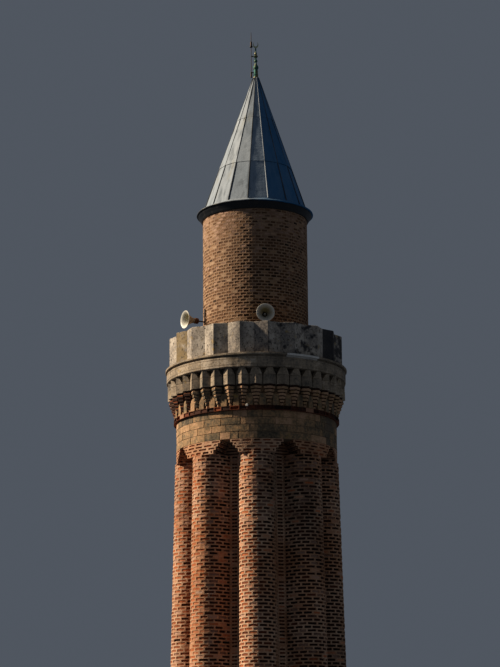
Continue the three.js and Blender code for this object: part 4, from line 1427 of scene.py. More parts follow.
def build_stage(name, start, stop):
    new_name = name.replace("upper_wall", "upper_bricks")
    piece = Piece(new_name, upper_mortar, upper_brick, pale_stone, plaster)
    foot, top = span(name)
    cuts = stage_cuts(start, stop)
    cuts = cuts[cuts[:, 4] > foot - 0.01]
    height = (cuts[:, 4] - stage_low) / (stage_high - stage_low)
    side = shaded_share(turn_of(cuts, STAGE_RADIUS))
    depth, tone = fired(len(cuts), 0.38, 0.13)
    # Painted shade: bricks on the shaded side get darker tones.
    tone = np.clip(tone - side * 0.1, 0, 1)
    smooth = np.clip((height - 0.6) / 0.25, 0, 1)
    depth = depth * (0.38 + 0.62 * side) * (1 - smooth * 0.6)
    smear = np.maximum(limed(len(cuts), 0.06), smooth * chance.uniform(0.2, 0.8, len(cuts)))
    cells(piece, rounded(STAGE_RADIUS), cuts, depth, tone, smear, (0.015, 0.0145), 0.008)
    arc = np.radians(np.linspace(start, stop, 13))
    outer = [(STAGE_RADIUS * math.sin(a), -STAGE_RADIUS * math.cos(a)) for a in arc]
    inner = [(STAGE_WELL * math.sin(a), -STAGE_WELL * math.cos(a)) for a in arc[::-1]]
    plan = [*outer, *inner]
    level_face(piece, plan, foot, False)
    level_face(piece, plan, top, True)
    upright(piece, [outer[-1], *inner, outer[0]], 1, foot, 1, top, 3)
    piece.build("upper_brick", name)


for name, (start, stop) in STAGE_PARTS.items():
    build_stage(name, start, stop)

# %% [markdown]
# ## Roof
# A dark moulding carries the roof; its near-black is partly paint and partly painted shadow of the
# brim. It is a gentle curve turned round the tower's axis, and its faces are shaded smooth, because
# such a moulding is run in one go and has no corners.

# %% Turn the moulding
eave_low, eave_high = span("eave_moulding")
eave = Piece("eave_band", dark_moulding)
EAVE = [
    (0.036, 0.001), (0.042, 0.01), (0.056, 0.03), (0.074, 0.065),
    (0.094, 0.097), (0.121, 0.13), (0.139, 0.163), (0.151, 0.19),
]
curve = [(STAGE_RADIUS + out, eave_low + height) for out, height in EAVE]
eave_profile = [
    (STAGE_WELL, eave_low), *curve, (STAGE_RADIUS + EAVE[-1][0], eave_high),
    (STAGE_WELL, eave_high), (STAGE_WELL, eave_low),
]
turned(eave, eave_profile)
eave.build("dark_moulding", "eave_moulding", smooth=35)

# %% [markdown]
# The roof is a cone of sixteen flat lead sheets, each in three lengths that lap like tiles. The sheets
# are never quite flat, so they bend by a few millimetres. The one in front gets a lighter tone than
# the rest, a painted reflection of the sky's light.

# %% Lay the cone's sheets
PANELS = 16
PANEL_ANGLE = 360 / PANELS
FIRST_SEAM = -8
CONE_RADIUS, TIP_RADIUS = 1.64, 0.095
CONE_FOOT = 32.17
ROOF_THICK = 0.074
LAPS = (33.52, 35.19)
LAP_STEPS = (0.0, 0.014, 0.006)
SEAM_RADIUS = 0.021
SHINY_SEAM = 1
SKY_LIT_PANEL = 0
roof_low, roof_high = span("cone_roof")
roof = Piece("lead_cone", lead, dark_moulding)


def cone_radius(z):
    return CONE_RADIUS + (TIP_RADIUS - CONE_RADIUS) * (z - CONE_FOOT) / (roof_high - CONE_FOOT)


def corner_points(azimuth, radius, z):
    return spun(0, -np.asarray(radius), z, azimuth)


def painted_sky_reflection(azimuth):
    """How much painted reflection of a blue sky the lead gets: none towards the sun, most on the side
    away from it.
    """
    return np.interp(signed(azimuth), (-30, -12, 3, 26, 120, 180), (0, 0, 0.38, 0.85, 1, 0.3))


def lay_panel(piece, i):
    """One of the sixteen sheets, in three lapped lengths."""
    start = FIRST_SEAM + i * PANEL_ANGLE
    out = spun(0, -1, 0, start + PANEL_ANGLE / 2)
    levels = [CONE_FOOT, *LAPS, roof_high]
    for low, high, step in zip(levels, levels[1:], LAP_STEPS):
        z = np.linspace(low, high, round((high - low) / 0.16) + 1)[:, None]
        u = np.linspace(0, 1, 9)[None]
        left = corner_points(start, cone_radius(z), z)
        right = corner_points(start + PANEL_ANGLE, cone_radius(z), z)
        points = left * (1 - u[..., None]) + right * u[..., None]
        lift = step * (high - z) / (high - low)
        phase = chance.uniform(0, 6, 3)
        dent = 0.004 * np.sin(5 * z + phase[0]) * np.sin(3 * u + phase[1])
        dent = dent + 0.002 * np.sin(17 * z + phase[2])
        edge = np.sin(np.pi * u)
        points = points + out * (lift + dent * edge)[..., None]
        # The panel in front gets a lighter tone, a painted reflection of the sky's light.
        tone = near(0.9 if i == SKY_LIT_PANEL else 0.5, 0.09)
        # The sheet's share of painted blue sky reflection.
        sky_reflection = painted_sky_reflection(start + PANEL_ANGLE / 2)
        sheet(piece, points, 0, tone, sky_reflection)
        if step:
            foot = np.stack([points[0] - out * step * 1.5, points[0]])
            # The lap's step is painted nearly black, a painted shade under the lap.
            sheet(piece, foot, 0, 0.0)


for i in range(PANELS):
    lay_panel(roof, i)
print("sheets:", PANELS * len(LAP_STEPS))

# %% [markdown]
# A thin rolled seam runs down every corner. It is a round bar that is closed at its ends, and the same
# bar serves later for the horns' arms. One seam, to the right of the front, is worn bright.

# %% Roll the seams
def tube(piece, start, end, radius, sides=8, look=0, tone=0.5, end_radius=None):
    """A round bar between two points, closed at its ends."""
    start, end = np.array(start, float), np.array(end, float)
    along = (end - start) / np.linalg.norm(end - start)
    across = np.cross(along, (0, 1, 0) if abs(along[1]) < 0.9 else (1, 0, 0))
    across /= np.linalg.norm(across)
    third = np.cross(along, across)
    angle = np.linspace(0, 2 * np.pi, sides, endpoint=False)
    ring = np.outer(np.cos(angle), across) + np.outer(np.sin(angle), third)
    far = radius if end_radius is None else end_radius
    rings = [start + ring * 0.0, start + ring * radius, end + ring * far, end + ring * 0.0]
    sheet(piece, rings, look, tone, wrap=True)


for i in range(PANELS):
    azimuth = FIRST_SEAM + i * PANEL_ANGLE
    foot, tip = (corner_points(azimuth, cone_radius(z) + 0.002, z) for z in (CONE_FOOT - 0.01, roof_high))
    # The seams are painted almost black, a painted shadow beside each roll; one stays bright.
    tone = 0.75 if i == SHINY_SEAM else 0.02 if signed(azimuth) < 0 else 0.12
    tube(roof, foot, tip, SEAM_RADIUS, 8, 0, tone, 0.01)
print("seams:", PANELS, "of radius", SEAM_RADIUS)

# %% [markdown]
# The cone's foot flares into a brim. It is round at its edge and has sixteen corners where it meets the
# cone, so its rings change from one shape to the other on the way up.

# %% Flare the brim
BRIM_RADIUS = 1.866
BRIM_RINGS = [
    (CONE_RADIUS - ROOF_THICK + 0.1, 0.0, 0), (BRIM_RADIUS - 0.01, 0.0, 0), (BRIM_RADIUS, 0.008, 0),
    (BRIM_RADIUS, 0.026, 0), (BRIM_RADIUS - 0.01, 0.036, 0), (BRIM_RADIUS - 0.045, 0.044, 0.1),
    (1.775, 0.074, 0.4), (1.665, 0.118, 0.85), (CONE_RADIUS + 0.003, CONE_FOOT - roof_low, 1),
]
steps = 6
azimuths = FIRST_SEAM + np.arange(PANELS * steps) * PANEL_ANGLE / steps
from_middle = np.radians((np.arange(PANELS * steps) % steps) / steps * PANEL_ANGLE - PANEL_ANGLE / 2)
cornered = math.cos(math.radians(PANEL_ANGLE / 2)) / np.cos(from_middle)
brim = []
for radius, height, share in BRIM_RINGS:
    radii = radius * (1 - share + share * cornered)
    x, y = radii * np.sin(np.radians(azimuths)), -radii * np.cos(np.radians(azimuths))
    brim.append(np.stack([x, y, np.full(len(radii), roof_low + height)], 1))
# The brim's underside and lower edge are painted nearly black, a painted shade under the brim.
brim_tones = np.repeat([0.0, 0.0, 0.1, 0.5, 0.6, 0.6, 0.6, 0.6], len(azimuths))
# The brim's share of painted blue sky reflection.
brim_reflections = np.tile([painted_sky_reflection(azimuth) for azimuth in azimuths], len(BRIM_RINGS) - 1)
sheet(roof, brim, 0, brim_tones, brim_reflections, wrap=True)
ceiling = roof_high - 0.4
inside = [
    (BRIM_RADIUS - 0.08, roof_low + 0.001), (CONE_RADIUS - ROOF_THICK, roof_low + 0.001),
    (cone_radius(ceiling) - ROOF_THICK, ceiling), (0.0, ceiling),
]
turned(roof, inside, PANELS, FIRST_SEAM, 1)
tip = [spun(0, -TIP_RADIUS, 0, azimuth)[:2] for azimuth in range(0, 360, 30)]
level_face(roof, tip, roof_high, True)
roof.build("lead_sheet", "cone_roof", smooth=35)

# %% [markdown]
# ## Finial
# A turned stem carries a crescent that opens upwards. Beside it stands a lightning rod, held by two
# clamps. The crescent is a bent bar that is thickest at its foot and pointed at both ends.

# %% Turn the stem
stem_low = span("finial_stem")[0]
STEM = [
    (0.084, 0), (0.084, 0.035), (0.068, 0.05), (0.068, 0.095), (0.08, 0.102), (0.08, 0.118),
    (0.068, 0.13), (0.066, 0.255), (0.058, 0.29), (0.074, 0.315), (0.088, 0.35), (0.084, 0.385),
    (0.07, 0.42), (0.048, 0.455), (0.034, 0.49), (0.028, 0.54), (0.05, 0.565), (0.058, 0.59),
    (0.05, 0.615), (0.026, 0.64), (0.026, 0.7), (0.06, 0.725), (0.072, 0.75), (0.06, 0.775),
    (0.03, 0.8), (0.039, 0.82), (0.042, 0.84), (0.039, 0.86), (0.03, 0.88), (0.02, 0.92),
    (0.02, 1.035), (0, 1.035),
]
stem = Piece("turned_stem", gilding)
turned(stem, [(0, stem_low), *((radius, stem_low + height) for radius, height in STEM)], 32)
stem.build("gilt_patina", "finial_stem", wander=0, smooth=40)

# %% Bend the crescent
CRESCENT_RADIUS, CRESCENT_HOLE, HOLE_SHIFT = 0.112, 0.084, 0.029
CRESCENT_SQUEEZE, CRESCENT_THICK = 0.78, 0.026
crescent_low = span("finial_crescent")[0]
ring_middle = crescent_low + CRESCENT_RADIUS + 0.004
hole_left = CRESCENT_HOLE ** 2 - HOLE_SHIFT ** 2
cos_tip = (hole_left - CRESCENT_RADIUS ** 2) / (2 * HOLE_SHIFT * CRESCENT_RADIUS)
tip_turn = math.acos(cos_tip) * 0.995
turns = np.linspace(-tip_turn, tip_turn, 49)[:, None]
shift = HOLE_SHIFT * np.cos(turns)
hole = np.sqrt(shift ** 2 + hole_left) - shift
middle, half = (CRESCENT_RADIUS + hole) / 2, (CRESCENT_RADIUS - hole) / 2
round_bar = np.linspace(0, 2 * np.pi, 12, endpoint=False)[None]
out = middle + half * np.cos(round_bar)
deep = np.minimum(CRESCENT_THICK / 2, half * 1.2) * np.sin(round_bar)
crescent = Piece("crescent", bright_gilding)
x, z = CRESCENT_SQUEEZE * out * np.sin(turns), ring_middle - out * np.cos(turns)
sheet(crescent, np.stack([x, deep + 0 * x, z], -1), wrap=True)
FOOT = [(0, 0), (0.018, 0), (0.014, 0.02), (0, 0.03)]
turned(crescent, [(radius, crescent_low + height) for radius, height in FOOT], 16)
crescent.build("gilt_patina", "finial_crescent", wander=0, smooth=40)

# %% Raise the lightning rod
ROD_X = -0.147
rod = Piece("rod_and_clamps", iron)
ROD = [
    (0, 0.02), (0.026, 0.02), (0.026, 0.208), (0.012, 0.216), (0.009, 0.24), (0.009, 1.055),
    (0.03, 1.06), (0.046, 1.07), (0.048, 1.09), (0.046, 1.11), (0.03, 1.12), (0.03, 1.25),
    (0.024, 1.262), (0.009, 1.27), (0.009, 1.52), (0.003, 1.598), (0, 1.6),
]
CLAMPS = ((0.195, 0.067), (0.753, 0.072))
CLAMP_HALF = 0.013
turned(rod, [(radius, stem_low + height) for radius, height in ROD], 20, centre=(ROD_X, 0))
for height, stem_radius in CLAMPS:
    level = stem_low + height
    clamp = worn_box(-CLAMP_HALF, CLAMP_HALF, level - CLAMP_HALF, level + CLAMP_HALF, 0.004)
    stone(rod, facing(0, 0), ROD_X, -stem_radius + 0.004, clamp, worn=0.002)
rod.build("dark_iron", "lightning_rod", wander=0, smooth=40)

# %% [markdown]
# ## Loudspeaker horns
# Two reflex horns hang outside the upper stage. A reflex horn has a short driver behind, a flared bell,
# and a plug in the bell's throat that folds the sound's path. The bell is thin, so both of its sides
# are made.

# %% Make the horns
BELL_OUT = [
    (0.072, 0.04), (0.08, 0.08), (0.095, 0.12), (0.114, 0.165), (0.14, 0.21), (0.17, 0.255),
    (0.205, 0.3), (0.243, 0.335), (0.273, 0.356),
]
RIM = [(0.281, 0.362), (0.285, 0.366), (0.281, 0.37), (0.272, 0.366)]
DRIVER = [(0, -0.1), (0.078, -0.1), (0.09, -0.088), (0.09, 0.012), (0.082, 0.02), (0.072, 0.04)]
PLUG = [
    (0.066, 0.05), (0.038, 0.052), (0.036, 0.1), (0.034, 0.15), (0.028, 0.172), (0.018, 0.185), (0, 0.19),
]
SKIN = 0.009
BELL_IN = [(radius - SKIN, height + SKIN) for radius, height in BELL_OUT[1:]][::-1]
LIP_SHARES = [0.85, 0.55, 0.25] + [0] * (len(BELL_IN) - 4)


def build_horn(name, node, back, azimuth, outside, rim, lit_inside, shaded_inside):
    """A horn that faces an azimuth, with its back at a point. The numbers are its enamel's tones; inside
    the bell they run from light at the bottom to dark at the top, which is painted light and shade.
    """
    toward = spun(0, -1, 0, azimuth)
    right = spun(1, 0, 0, azimuth)
    upward = np.array([0, 0, 1])
    piece = Piece(name, enamel, rust, iron)
    angle = np.linspace(0, 2 * np.pi, 40, endpoint=False)

    def spin(profile, look, tone):
        radius, height = np.array(profile, float).T[:, :, None]
        across = radius * np.sin(angle)
        along = 0.1 + height + 0 * across
        up = -radius * np.cos(angle)
        points = back + along[..., None] * toward - across[..., None] * right + up[..., None] * upward
        sheet(piece, points, look, tone, wrap=True)

    # Painted light and shade: the inside of the bell is lighter at its floor, where the sun falls, and
    # darker under its top.
    inside = lit_inside + (shaded_inside - lit_inside) * (0.5 - 0.5 * np.cos(angle + angle[1] / 2))
    spin(DRIVER, 1, 0.5)
    spin(BELL_OUT, 0, outside)
    spin([BELL_OUT[-1], *RIM, BELL_IN[0]], 0, rim)
    spin(BELL_IN, 0, inside + (rim - inside) * np.array(LIP_SHARES)[:, None])
    spin([BELL_IN[-1], PLUG[0], PLUG[1]], 2, 0.3)
    spin(PLUG[1:], 0, 0.75)
    piece.build("horn_enamel", node, wander=0, smooth=40)


FRONT_PLACE, FRONT_AZIMUTH = np.array([0.258, -1.7, 28.31]), 5
LEFT_AZIMUTH, LEFT_OUT, LEFT_LEVEL = -60, 0.247, 28.407
POLE_AZIMUTH, POLE_OUT = -70.2, 1.7
pole_place = spun(0, -POLE_OUT, 0, POLE_AZIMUTH)
left_place = pole_place + LEFT_OUT * spun(0, -1, 0, LEFT_AZIMUTH) + [0, 0, LEFT_LEVEL]
build_horn("front_loudspeaker", "front_horn", FRONT_PLACE, FRONT_AZIMUTH, 0.45, 1.0, 0.75, 0.35)
build_horn("left_loudspeaker", "left_horn", left_place, LEFT_AZIMUTH, 0.55, 1.0, 1.0, 0.32)

# %% [markdown]
# The front horn sits on a short arm with a plate on the wall. The left one is held by a pole that
# stands off the wall on two arms.

# %% Fix the horns to the wall
PLATE_AZIMUTH, PLATE_HALF = 8.7, 0.06
plate_low, plate_high = span("front_horn_bracket")
bracket = Piece("front_horn_arm", iron)
plate = worn_box(0.002, 0.014, plate_low, plate_high, 0.004)
stone(bracket, facing(STAGE_RADIUS, PLATE_AZIMUTH), -PLATE_HALF, PLATE_HALF, plate, worn=0.004)
tube(bracket, FRONT_PLACE + [0, 0.002, 0], FRONT_PLACE + [-0.005, 0.045, 0], 0.024, 12)
bracket.build("dark_iron", "front_horn_bracket", wander=0, smooth=40)

POLE_ARM = 0.06
pole_low, pole_high = span("left_horn_pole")
pole = Piece("left_horn_pole_and_arms", iron)
profile = [(0, 0), (0.023, 0), (0.025, 0.006)]
low_end = [(radius, pole_low + height) for radius, height in profile]
high_end = [(radius, pole_high - height) for radius, height in profile[::-1]]
turned(pole, low_end + high_end, 16, centre=pole_place[:2])
for level in (pole_low + POLE_ARM, pole_high - POLE_ARM):
    at_wall = spun(0, -STAGE_RADIUS - 0.002, level, POLE_AZIMUTH)
    tube(pole, pole_place + [0, 0, level], at_wall, 0.015, 10)
tube(pole, left_place, pole_place + [0, 0, left_place[2]], 0.02, 10)
pole.build("dark_iron", "left_horn_pole", wander=0, smooth=40)

# %% [markdown]
# ## The square base
# The base is a square of ashlar on a low plinth, with a pointed doorway. Each of its walls is a core
# with dressed blocks on the sides that show. The courses run through all walls at the same heights.

# %% Lay the base's walls
BASE_HALF = 3.2
PLINTH_PROUD = 0.088
PLINTH_HIGH = 0.52
DOOR_HALF = 0.5
DOOR_SPRING = 1.75
DOOR_RADIUS = 0.85
HALF_JOINT = 0.004
BASE_TOP = span("base_back_wall")[1]
FRONT, RIGHT, BACK, LEFT = 0, 90, 180, -90
base_lines = np.hstack([PLINTH_HIGH, courses(PLINTH_HIGH, BASE_TOP, 0.335)[1:]])


def arch_half(half, spring, radius):
    """Half the width of a pointed arch at a height."""
    def at(z):
        rise = max(z - spring, 0)
        return max(half - radius + math.sqrt(max(radius ** 2 - rise ** 2, 0)), 0)
    return at


door_half_at = arch_half(DOOR_HALF, DOOR_SPRING, DOOR_RADIUS)
DOOR_APEX = DOOR_SPRING + math.sqrt(DOOR_RADIUS ** 2 - (DOOR_RADIUS - DOOR_HALF) ** 2)


def lay_ashlar(piece, place, lines, left, right, length=0.72, mean=0.55, dirt=0.15, parts=2):
    """Dressed blocks on a flat wall, with their faces on the wall's own plane."""
    cuts = bond(lines, left, right, length, 0.2)
    depth, tone = dressed(len(cuts), mean)
    smear = near(dirt, 0.15, len(cuts))
    face = set_back(place, PROUD)
    cells(piece, face, cuts, depth, tone, smear, (0.009, 0.008), 0.014, parts=parts, looks=(0, 1, 1))


def lay_plinth(piece, azimuth, left, right):
    """Plinth stones with a sloping top edge."""
    marks = np.linspace(left, right, max(1, round((right - left) / 0.8)) + 1)
    place = facing(BASE_HALF, azimuth)
    section = [
        (PLINTH_PROUD, 0), (PLINTH_PROUD, PLINTH_HIGH - 0.07),
        (0.01, PLINTH_HIGH), (-0.1, PLINTH_HIGH), (-0.1, 0),
    ]
    for start, stop in zip(marks, marks[1:]):
        ends = start + HALF_JOINT, stop - HALF_JOINT
        stone(piece, place, *ends, section, look=1, tone=near(0.45), smear=0.35)


def core_box(piece, low, high, look=0):
    """The plain core behind dressed blocks."""
    (x0, y0, z0), (x1, y1, z1) = low, high
    prism(piece, facing(0, 0), [(x0, z0), (x1, z0), (x1, z1), (x0, z1)], -y1, -y0, look)


# %% [markdown]
# Each wall is stated by the two far corners of its core, and by the sides that get blocks: which way
# they face, and from where to where they run.

# %% Lay the five walls
INSET, BED = 0.02, 0.0003
edge, well_side = BASE_HALF - INSET, WELL - BED
WALLS = {
    "base_back_wall": ((-edge, WELL, 0), (edge, edge, BASE_TOP), [
        (BACK, -BASE_HALF, BASE_HALF), (RIGHT, WELL, BASE_HALF), (LEFT, -BASE_HALF, -WELL)]),
    "base_left_wall": ((-edge, -well_side, 0), (-WELL, well_side, BASE_TOP), [(LEFT, -WELL, WELL)]),
    "base_right_wall": ((WELL, -well_side, 0), (edge, well_side, BASE_TOP), [(RIGHT, -WELL, WELL)]),
    "base_front_left": ((-edge, -edge, 0), (-DOOR_HALF - INSET, -WELL, BASE_TOP), [
        (FRONT, -BASE_HALF, -DOOR_HALF), (LEFT, WELL, BASE_HALF)]),
    "base_front_right": ((DOOR_HALF + INSET, -edge, 0), (edge, -WELL, BASE_TOP), [
        (FRONT, DOOR_HALF, BASE_HALF), (RIGHT, -BASE_HALF, -WELL)]),
}
door_face = facing(BASE_HALF, FRONT)


def lay_jamb(piece, hand):
    """The doorway's side: blocks in the passage, and long and short stones at its edge."""
    jamb_lines = np.hstack([0, base_lines])
    start, stop = sorted((hand * WELL, hand * BASE_HALF))
    low_lines = jamb_lines[jamb_lines < DOOR_SPRING + 0.2]
    lay_ashlar(piece, facing(-DOOR_HALF, -hand * 90), low_lines, start, stop, 0.5)
    for low_z, high_z in zip(jamb_lines, jamb_lines[1:]):
        if high_z < DOOR_SPRING + 0.01:
            wide = 0.3 if chance.random() < 0.5 else 0.42
            start, stop = sorted((hand * DOOR_HALF, hand * (DOOR_HALF + wide)))
            proud = 0.035 + (PLINTH_PROUD - 0.03) * (low_z < 0.1)
            box = worn_box(-0.2, proud, low_z + HALF_JOINT, high_z - HALF_JOINT, 0.012)
            stone(piece, door_face, start, stop, box, look=1, tone=0.7, smear=0.1)


for name, (low, high, faces) in WALLS.items():
    piece = Piece(name.replace("base", "ashlar_base"), stone_mortar, ashlar, plaster)
    core_box(piece, low, high, 2)
    for azimuth, left, right in faces:
        lay_ashlar(piece, facing(BASE_HALF, azimuth), base_lines, left, right)
        past = PLINTH_PROUD if azimuth in (FRONT, BACK) else 0
        ends = [end + math.copysign(past, end) * (abs(end) == BASE_HALF) for end in (left, right)]
        lay_plinth(piece, azimuth, *ends)
    if "front" in name:
        lay_jamb(piece, -1 if "left" in name else 1)
    piece.build("ashlar", name)

# %% [markdown]
# The sixth piece closes the front over the doorway. Twelve stones make its pointed arch, with a
# keystone where the two halves meet.

# %% Turn the arch over the doorway
DOOR_ARCH = DOOR_HALF, DOOR_SPRING, DOOR_RADIUS
DOOR_STONES = 6
ARCH_JOINT = 0.003


def lay_arch(piece, place, arch, many, section, look, tone, smear=0.0):
    """The stones of a pointed arch, so many on either side. `tone` is a function that gives tones."""
    half, spring, radius = arch
    turn = math.acos((radius - half) / radius)
    for hand in (-1, 1):
        side = mirrored(along_arch(place, hand * (half - radius), spring, radius))
        for i in range(many):
            start, stop = (turn * k / many for k in (i, i + 1))
            if hand < 0:
                start, stop = math.pi - stop, math.pi - start
            ends = -stop * radius + ARCH_JOINT, -start * radius - ARCH_JOINT
            stone(piece, side, *ends, section, 2, look=look, tone=tone(), smear=smear)


over = Piece("ashlar_over_door", stone_mortar, ashlar, plaster)
arch_z = np.linspace(DOOR_SPRING, DOOR_APEX, 9)
curve = [(door_half_at(z) + INSET, z) for z in arch_z[:-1]] + [(0, DOOR_APEX + INSET)]
outline = [(-u, z) for u, z in curve] + [(u, z) for u, z in curve[:-1][::-1]]
outline += [(DOOR_HALF, BASE_TOP), (-DOOR_HALF, BASE_TOP)]
prism(over, door_face, outline, WELL - BASE_HALF, -INSET, 2)
lay_ashlar(over, door_face, base_lines[base_lines > DOOR_APEX - 0.35], -DOOR_HALF, DOOR_HALF)
lay_arch(over, door_face, DOOR_ARCH, DOOR_STONES, worn_box(-0.5, 0.04, 0, 0.24, 0.012), 1, lambda: 0.7)
keystone = [
    (-0.09, DOOR_APEX + 0.02), (0, DOOR_APEX - 0.01), (0.09, DOOR_APEX + 0.02),
    (0.12, DOOR_APEX + 0.26), (-0.12, DOOR_APEX + 0.26),
]
prism(over, door_face, keystone, -0.3, 0.055, 1, 0.75)
over.build("ashlar", "base_over_door")

# %% [markdown]
# The floor inside keeps its own solid, and its flagstones are a matter of its material alone.

# %% Pave the floor inside
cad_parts["ground_floor"].data.materials.clear()
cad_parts["ground_floor"].data.materials.append(paving)
print("paved: ground_floor with", paving.name)

# %% [markdown]
# ## The broach
# Over the base the square turns into an octagon. Four sides lean in a little, and four triangles fill
# the corners. They are laid in the same ashlar, so the leaning faces are only another drawing of it.

# %% Lay the broach
broach_low, broach_high = span("broach_course")
BROACH_APOTHEM = 3.06
top_half = BROACH_APOTHEM * math.tan(groove_turn)


def leaning(foot, top, azimuth):
    """A face that leans from one distance at its foot to another at its top."""
    def place(u, d, z):
        share = (z - broach_low) / (broach_high - broach_low)
        return spun(u, -(foot + (top - foot) * share + d), z, azimuth)
    return place


def widening(foot, top):
    """An end that moves from one place at the foot to another at the top."""
    return lambda z: foot + (top - foot) * (z - broach_low) / (broach_high - broach_low)


broach = Piece("ashlar_broach", stone_mortar, ashlar, plaster)
broach_lines = courses(broach_low, broach_high, 0.28)
for azimuth in (FRONT, RIGHT, BACK, LEFT):
    left, right = widening(-BASE_HALF, -top_half), widening(BASE_HALF, top_half)
    lay_ashlar(broach, leaning(BASE_HALF, BROACH_APOTHEM, azimuth), broach_lines, left, right)
    left, right = widening(-0.02, -top_half), widening(0.02, top_half)
    corner_face = leaning(BASE_HALF * math.sqrt(2), BROACH_APOTHEM, azimuth + 45)
    lay_ashlar(broach, corner_face, broach_lines, left, right, 0.6)
edge = BASE_HALF - 0.01
square = [(edge, -edge), (edge, edge), (-edge, edge), (-edge, -edge)]
corner = 1 / math.cos(groove_turn)


def octagon(apothem):
    """The eight corners of an octagon whose sides are this far from the axis."""
    turns = [(i + 0.5) * SIDE_ANGLE for i in range(SIDES)]
    return [spun(0, -apothem * corner, 0, turn)[:2] for turn in turns]


def pierced(piece, outer, inner, level, upwards, look=0):
    """A level face between an outline and a well, in two halves."""
    half_in, half_out = len(inner) // 2, len(outer) // 2
    for turn in (0, 1):
        out = [outer[(turn * half_out + i) % len(outer)] for i in range(half_out + 1)]
        into = [inner[(turn * half_in + i) % len(inner)] for i in range(half_in + 1)]
        level_face(piece, [*out, *into[::-1]], level, upwards, look)


pierced(broach, square, octagon(WELL), broach_low, False)
pierced(broach, octagon(BROACH_APOTHEM - 0.01), octagon(WELL), broach_high, True)
upright(broach, [*octagon(WELL)[::-1], octagon(WELL)[-1]], 1, broach_low, 1, broach_high, 2)
broach.build("ashlar", "broach_course")

# %% [markdown]
# ## The octagonal drum
# Each of the eight sides has a shallow blind niche with a pointed arch of stone. The bricks are the
# shaft's, and their courses stop at the niche and go on at its back.

# %% Lay a side's bricks
DRUM_APOTHEM = 3.0
drum_low, drum_high = span("drum_panel_1")
NICHE_HALF, NICHE_DEPTH, NICHE_RADIUS = 0.725, 0.13, 1.25
NICHE_SILL = drum_low + 0.45
NICHE_SPRING = NICHE_SILL + 1.75
niche_half_at = arch_half(NICHE_HALF, NICHE_SPRING, NICHE_RADIUS)
niche_turn = math.acos((NICHE_RADIUS - NICHE_HALF) / NICHE_RADIUS)
NICHE_APEX = NICHE_SPRING + NICHE_RADIUS * math.sin(niche_turn)
NICHE_ARCH = NICHE_HALF, NICHE_SPRING, NICHE_RADIUS
side_half = DRUM_APOTHEM * math.tan(groove_turn)
lines_below = courses(drum_low, NICHE_SILL, COURSE)
drum_lines = np.hstack([lines_below, courses(NICHE_SILL, drum_high, COURSE)[1:]])
low_lines = drum_lines[drum_lines < NICHE_SILL + 0.01]
beside = drum_lines[(drum_lines > NICHE_SILL - 0.01) & (drum_lines < NICHE_APEX + 0.08)]
high_lines = drum_lines[drum_lines >= beside[-1] - 0.01]


def lay_bricks(piece, place, lines, left, right):
    cuts = bond(lines, left, right, FLUTE_BRICK)
    depth, tone = fired(len(cuts))
    cells(piece, place, cuts, depth, tone, limed(len(cuts)))


def lay_side(piece, azimuth):
    """The bricks under, beside and over the niche, and those at its back."""
    place = facing(DRUM_APOTHEM, azimuth)
    lay_bricks(piece, place, low_lines, -side_half, side_half)
    lay_bricks(piece, place, beside, -side_half, lambda z: -niche_half_at(z))
    lay_bricks(piece, place, beside, niche_half_at, side_half)
    lay_bricks(piece, place, high_lines, -side_half, side_half)
    back = set_back(place, NICHE_DEPTH)
    lay_bricks(piece, back, beside, lambda z: -niche_half_at(z), niche_half_at)


print("courses on the drum:", len(drum_lines) - 1, "of which beside the niche:", len(beside) - 1)

# %% [markdown]
# The niche has a mortared reveal, a sill of two stones and an arch of eighteen. A side then gets its
# core: a wedge with level ends, which meets its neighbours on a mitred face.

# %% Frame the niches and build the sides
NICHE_STONES = 9
SILL_HALF = 0.85


def frame_niche(piece, place):
    """The niche's reveal, sill and arch."""
    z = np.hstack([NICHE_SILL, np.linspace(NICHE_SPRING, NICHE_APEX, 9)])
    half = np.array([niche_half_at(level) for level in z])
    u = np.hstack([half, -half[::-1]])
    level = np.hstack([z, z[::-1]])
    reveal = place(u[None], np.array([[0.0], [-NICHE_DEPTH]]), level[None])
    sheet(piece, reveal, 3)
    sill = worn_box(-NICHE_DEPTH, 0.03, NICHE_SILL - COURSE, NICHE_SILL, 0.01)
    for left, right in ((-SILL_HALF, 0.0), (0.0, SILL_HALF)):
        ends = left + ARCH_JOINT, right - ARCH_JOINT
        stone(piece, place, *ends, sill, look=2, tone=0.55, smear=0.2)
    box = worn_box(-NICHE_DEPTH, 0.02, 0, 0.2, 0.01)
    lay_arch(piece, place, NICHE_ARCH, NICHE_STONES, box, 2, lambda: near(0.6), 0.15)


def build_panel(number):
    azimuth = (number - 1) * SIDE_ANGLE
    place = facing(DRUM_APOTHEM, azimuth)
    piece = Piece(f"brick_drum_{number}", shaft_mortar, shaft_brick, pale_stone, stone_mortar)
    lay_side(piece, azimuth)
    frame_niche(piece, place)
    front = [place(end, 0, 0)[:2] for end in (-side_half, side_half)]
    plan = wedge_plan(azimuth, front, DRUM_APOTHEM * corner, WELL)
    level_face(piece, plan, drum_low, False)
    level_face(piece, plan, drum_high, True)
    upright(piece, plan[-4:], 1, drum_low, 1, drum_high)
    piece.build("shaft_brick", f"drum_panel_{number}")


for number in range(1, SIDES + 1):
    build_panel(number)

# %% [markdown]
# A cornice of moulded stones ends the drum, three on a side. Their ends at the corners are mitred.

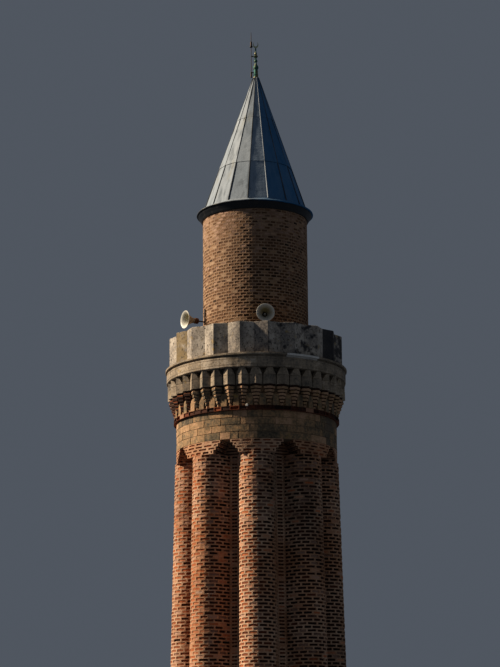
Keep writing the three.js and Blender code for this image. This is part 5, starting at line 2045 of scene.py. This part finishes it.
# %% Lay the drum's cornice
cornice_foot, cornice_top = span("drum_cornice")
drum_cornice = Piece("drum_cornice_stones", stone_mortar, pale_stone, plaster)
rise = cornice_top - cornice_foot
mould = [
    (0.0, 0.004), (0.03, 0.02), (0.07, 0.06), (0.09, 0.09), (0.09, 0.225),
    (0.08, 0.235), (-0.145, rise), (-0.5, rise), (-0.5, 0.004),
]
section = [(d, cornice_foot + z) for d, z in mould]


def octagon_side(azimuth):
    """A side of the octagon whose ends are mitred. u runs from -1 to 1."""
    tangent = math.tan(groove_turn)
    return lambda u, d, z: spun(u * (DRUM_APOTHEM + d) * tangent, -(DRUM_APOTHEM + d), z, azimuth)


finish = {"look": 1, "smear": 0.2}
for side in range(SIDES):
    place = octagon_side(side * SIDE_ANGLE)
    for left, right in ((-1, -0.36), (-0.36, 0.3), (0.3, 1)):
        ends = left + ARCH_JOINT, right - ARCH_JOINT
        stone(drum_cornice, place, *ends, section, 2, 0.006, side_half, tone=near(0.55), **finish)
radii = (DRUM_APOTHEM - 0.48) * corner, WELL * corner
levels = cornice_foot + 0.01, cornice_top - 0.01
ring_core(drum_cornice, *radii, *levels, SIDES, SIDE_ANGLE / 2, 2)
drum_cornice.build("pale_stone", "drum_cornice")

# %% [markdown]
# ## Floor
# A plain pale floor, wide enough that its edge stays far away. It throws no light back on the tower,
# because a floor this wide would fill every shadow of the balcony.

# %% Lay the studio floor
FLOOR_RADIUS = 600
floor_mesh = bpy.data.meshes.new("studio_floor")
turn = np.linspace(0, 2 * np.pi, 96, endpoint=False)
disc = np.stack([FLOOR_RADIUS * np.cos(turn), FLOOR_RADIUS * np.sin(turn), 0 * turn], 1)
floor_mesh.from_pydata(disc.tolist(), [], [list(range(96))])
floor_mesh.materials.append(floor_finish)
floor = bpy.data.objects.new("studio_floor", floor_mesh)
bpy.context.scene.collection.objects.link(floor)
floor.visible_diffuse = False
floor.visible_glossy = False

# %% [markdown]
# ## Triangles
# The triangles of all pieces are added up, and the most in any one piece is given.

# %% Count the triangles
print("triangles in all:", sum(totals), "most in a piece:", max(totals))
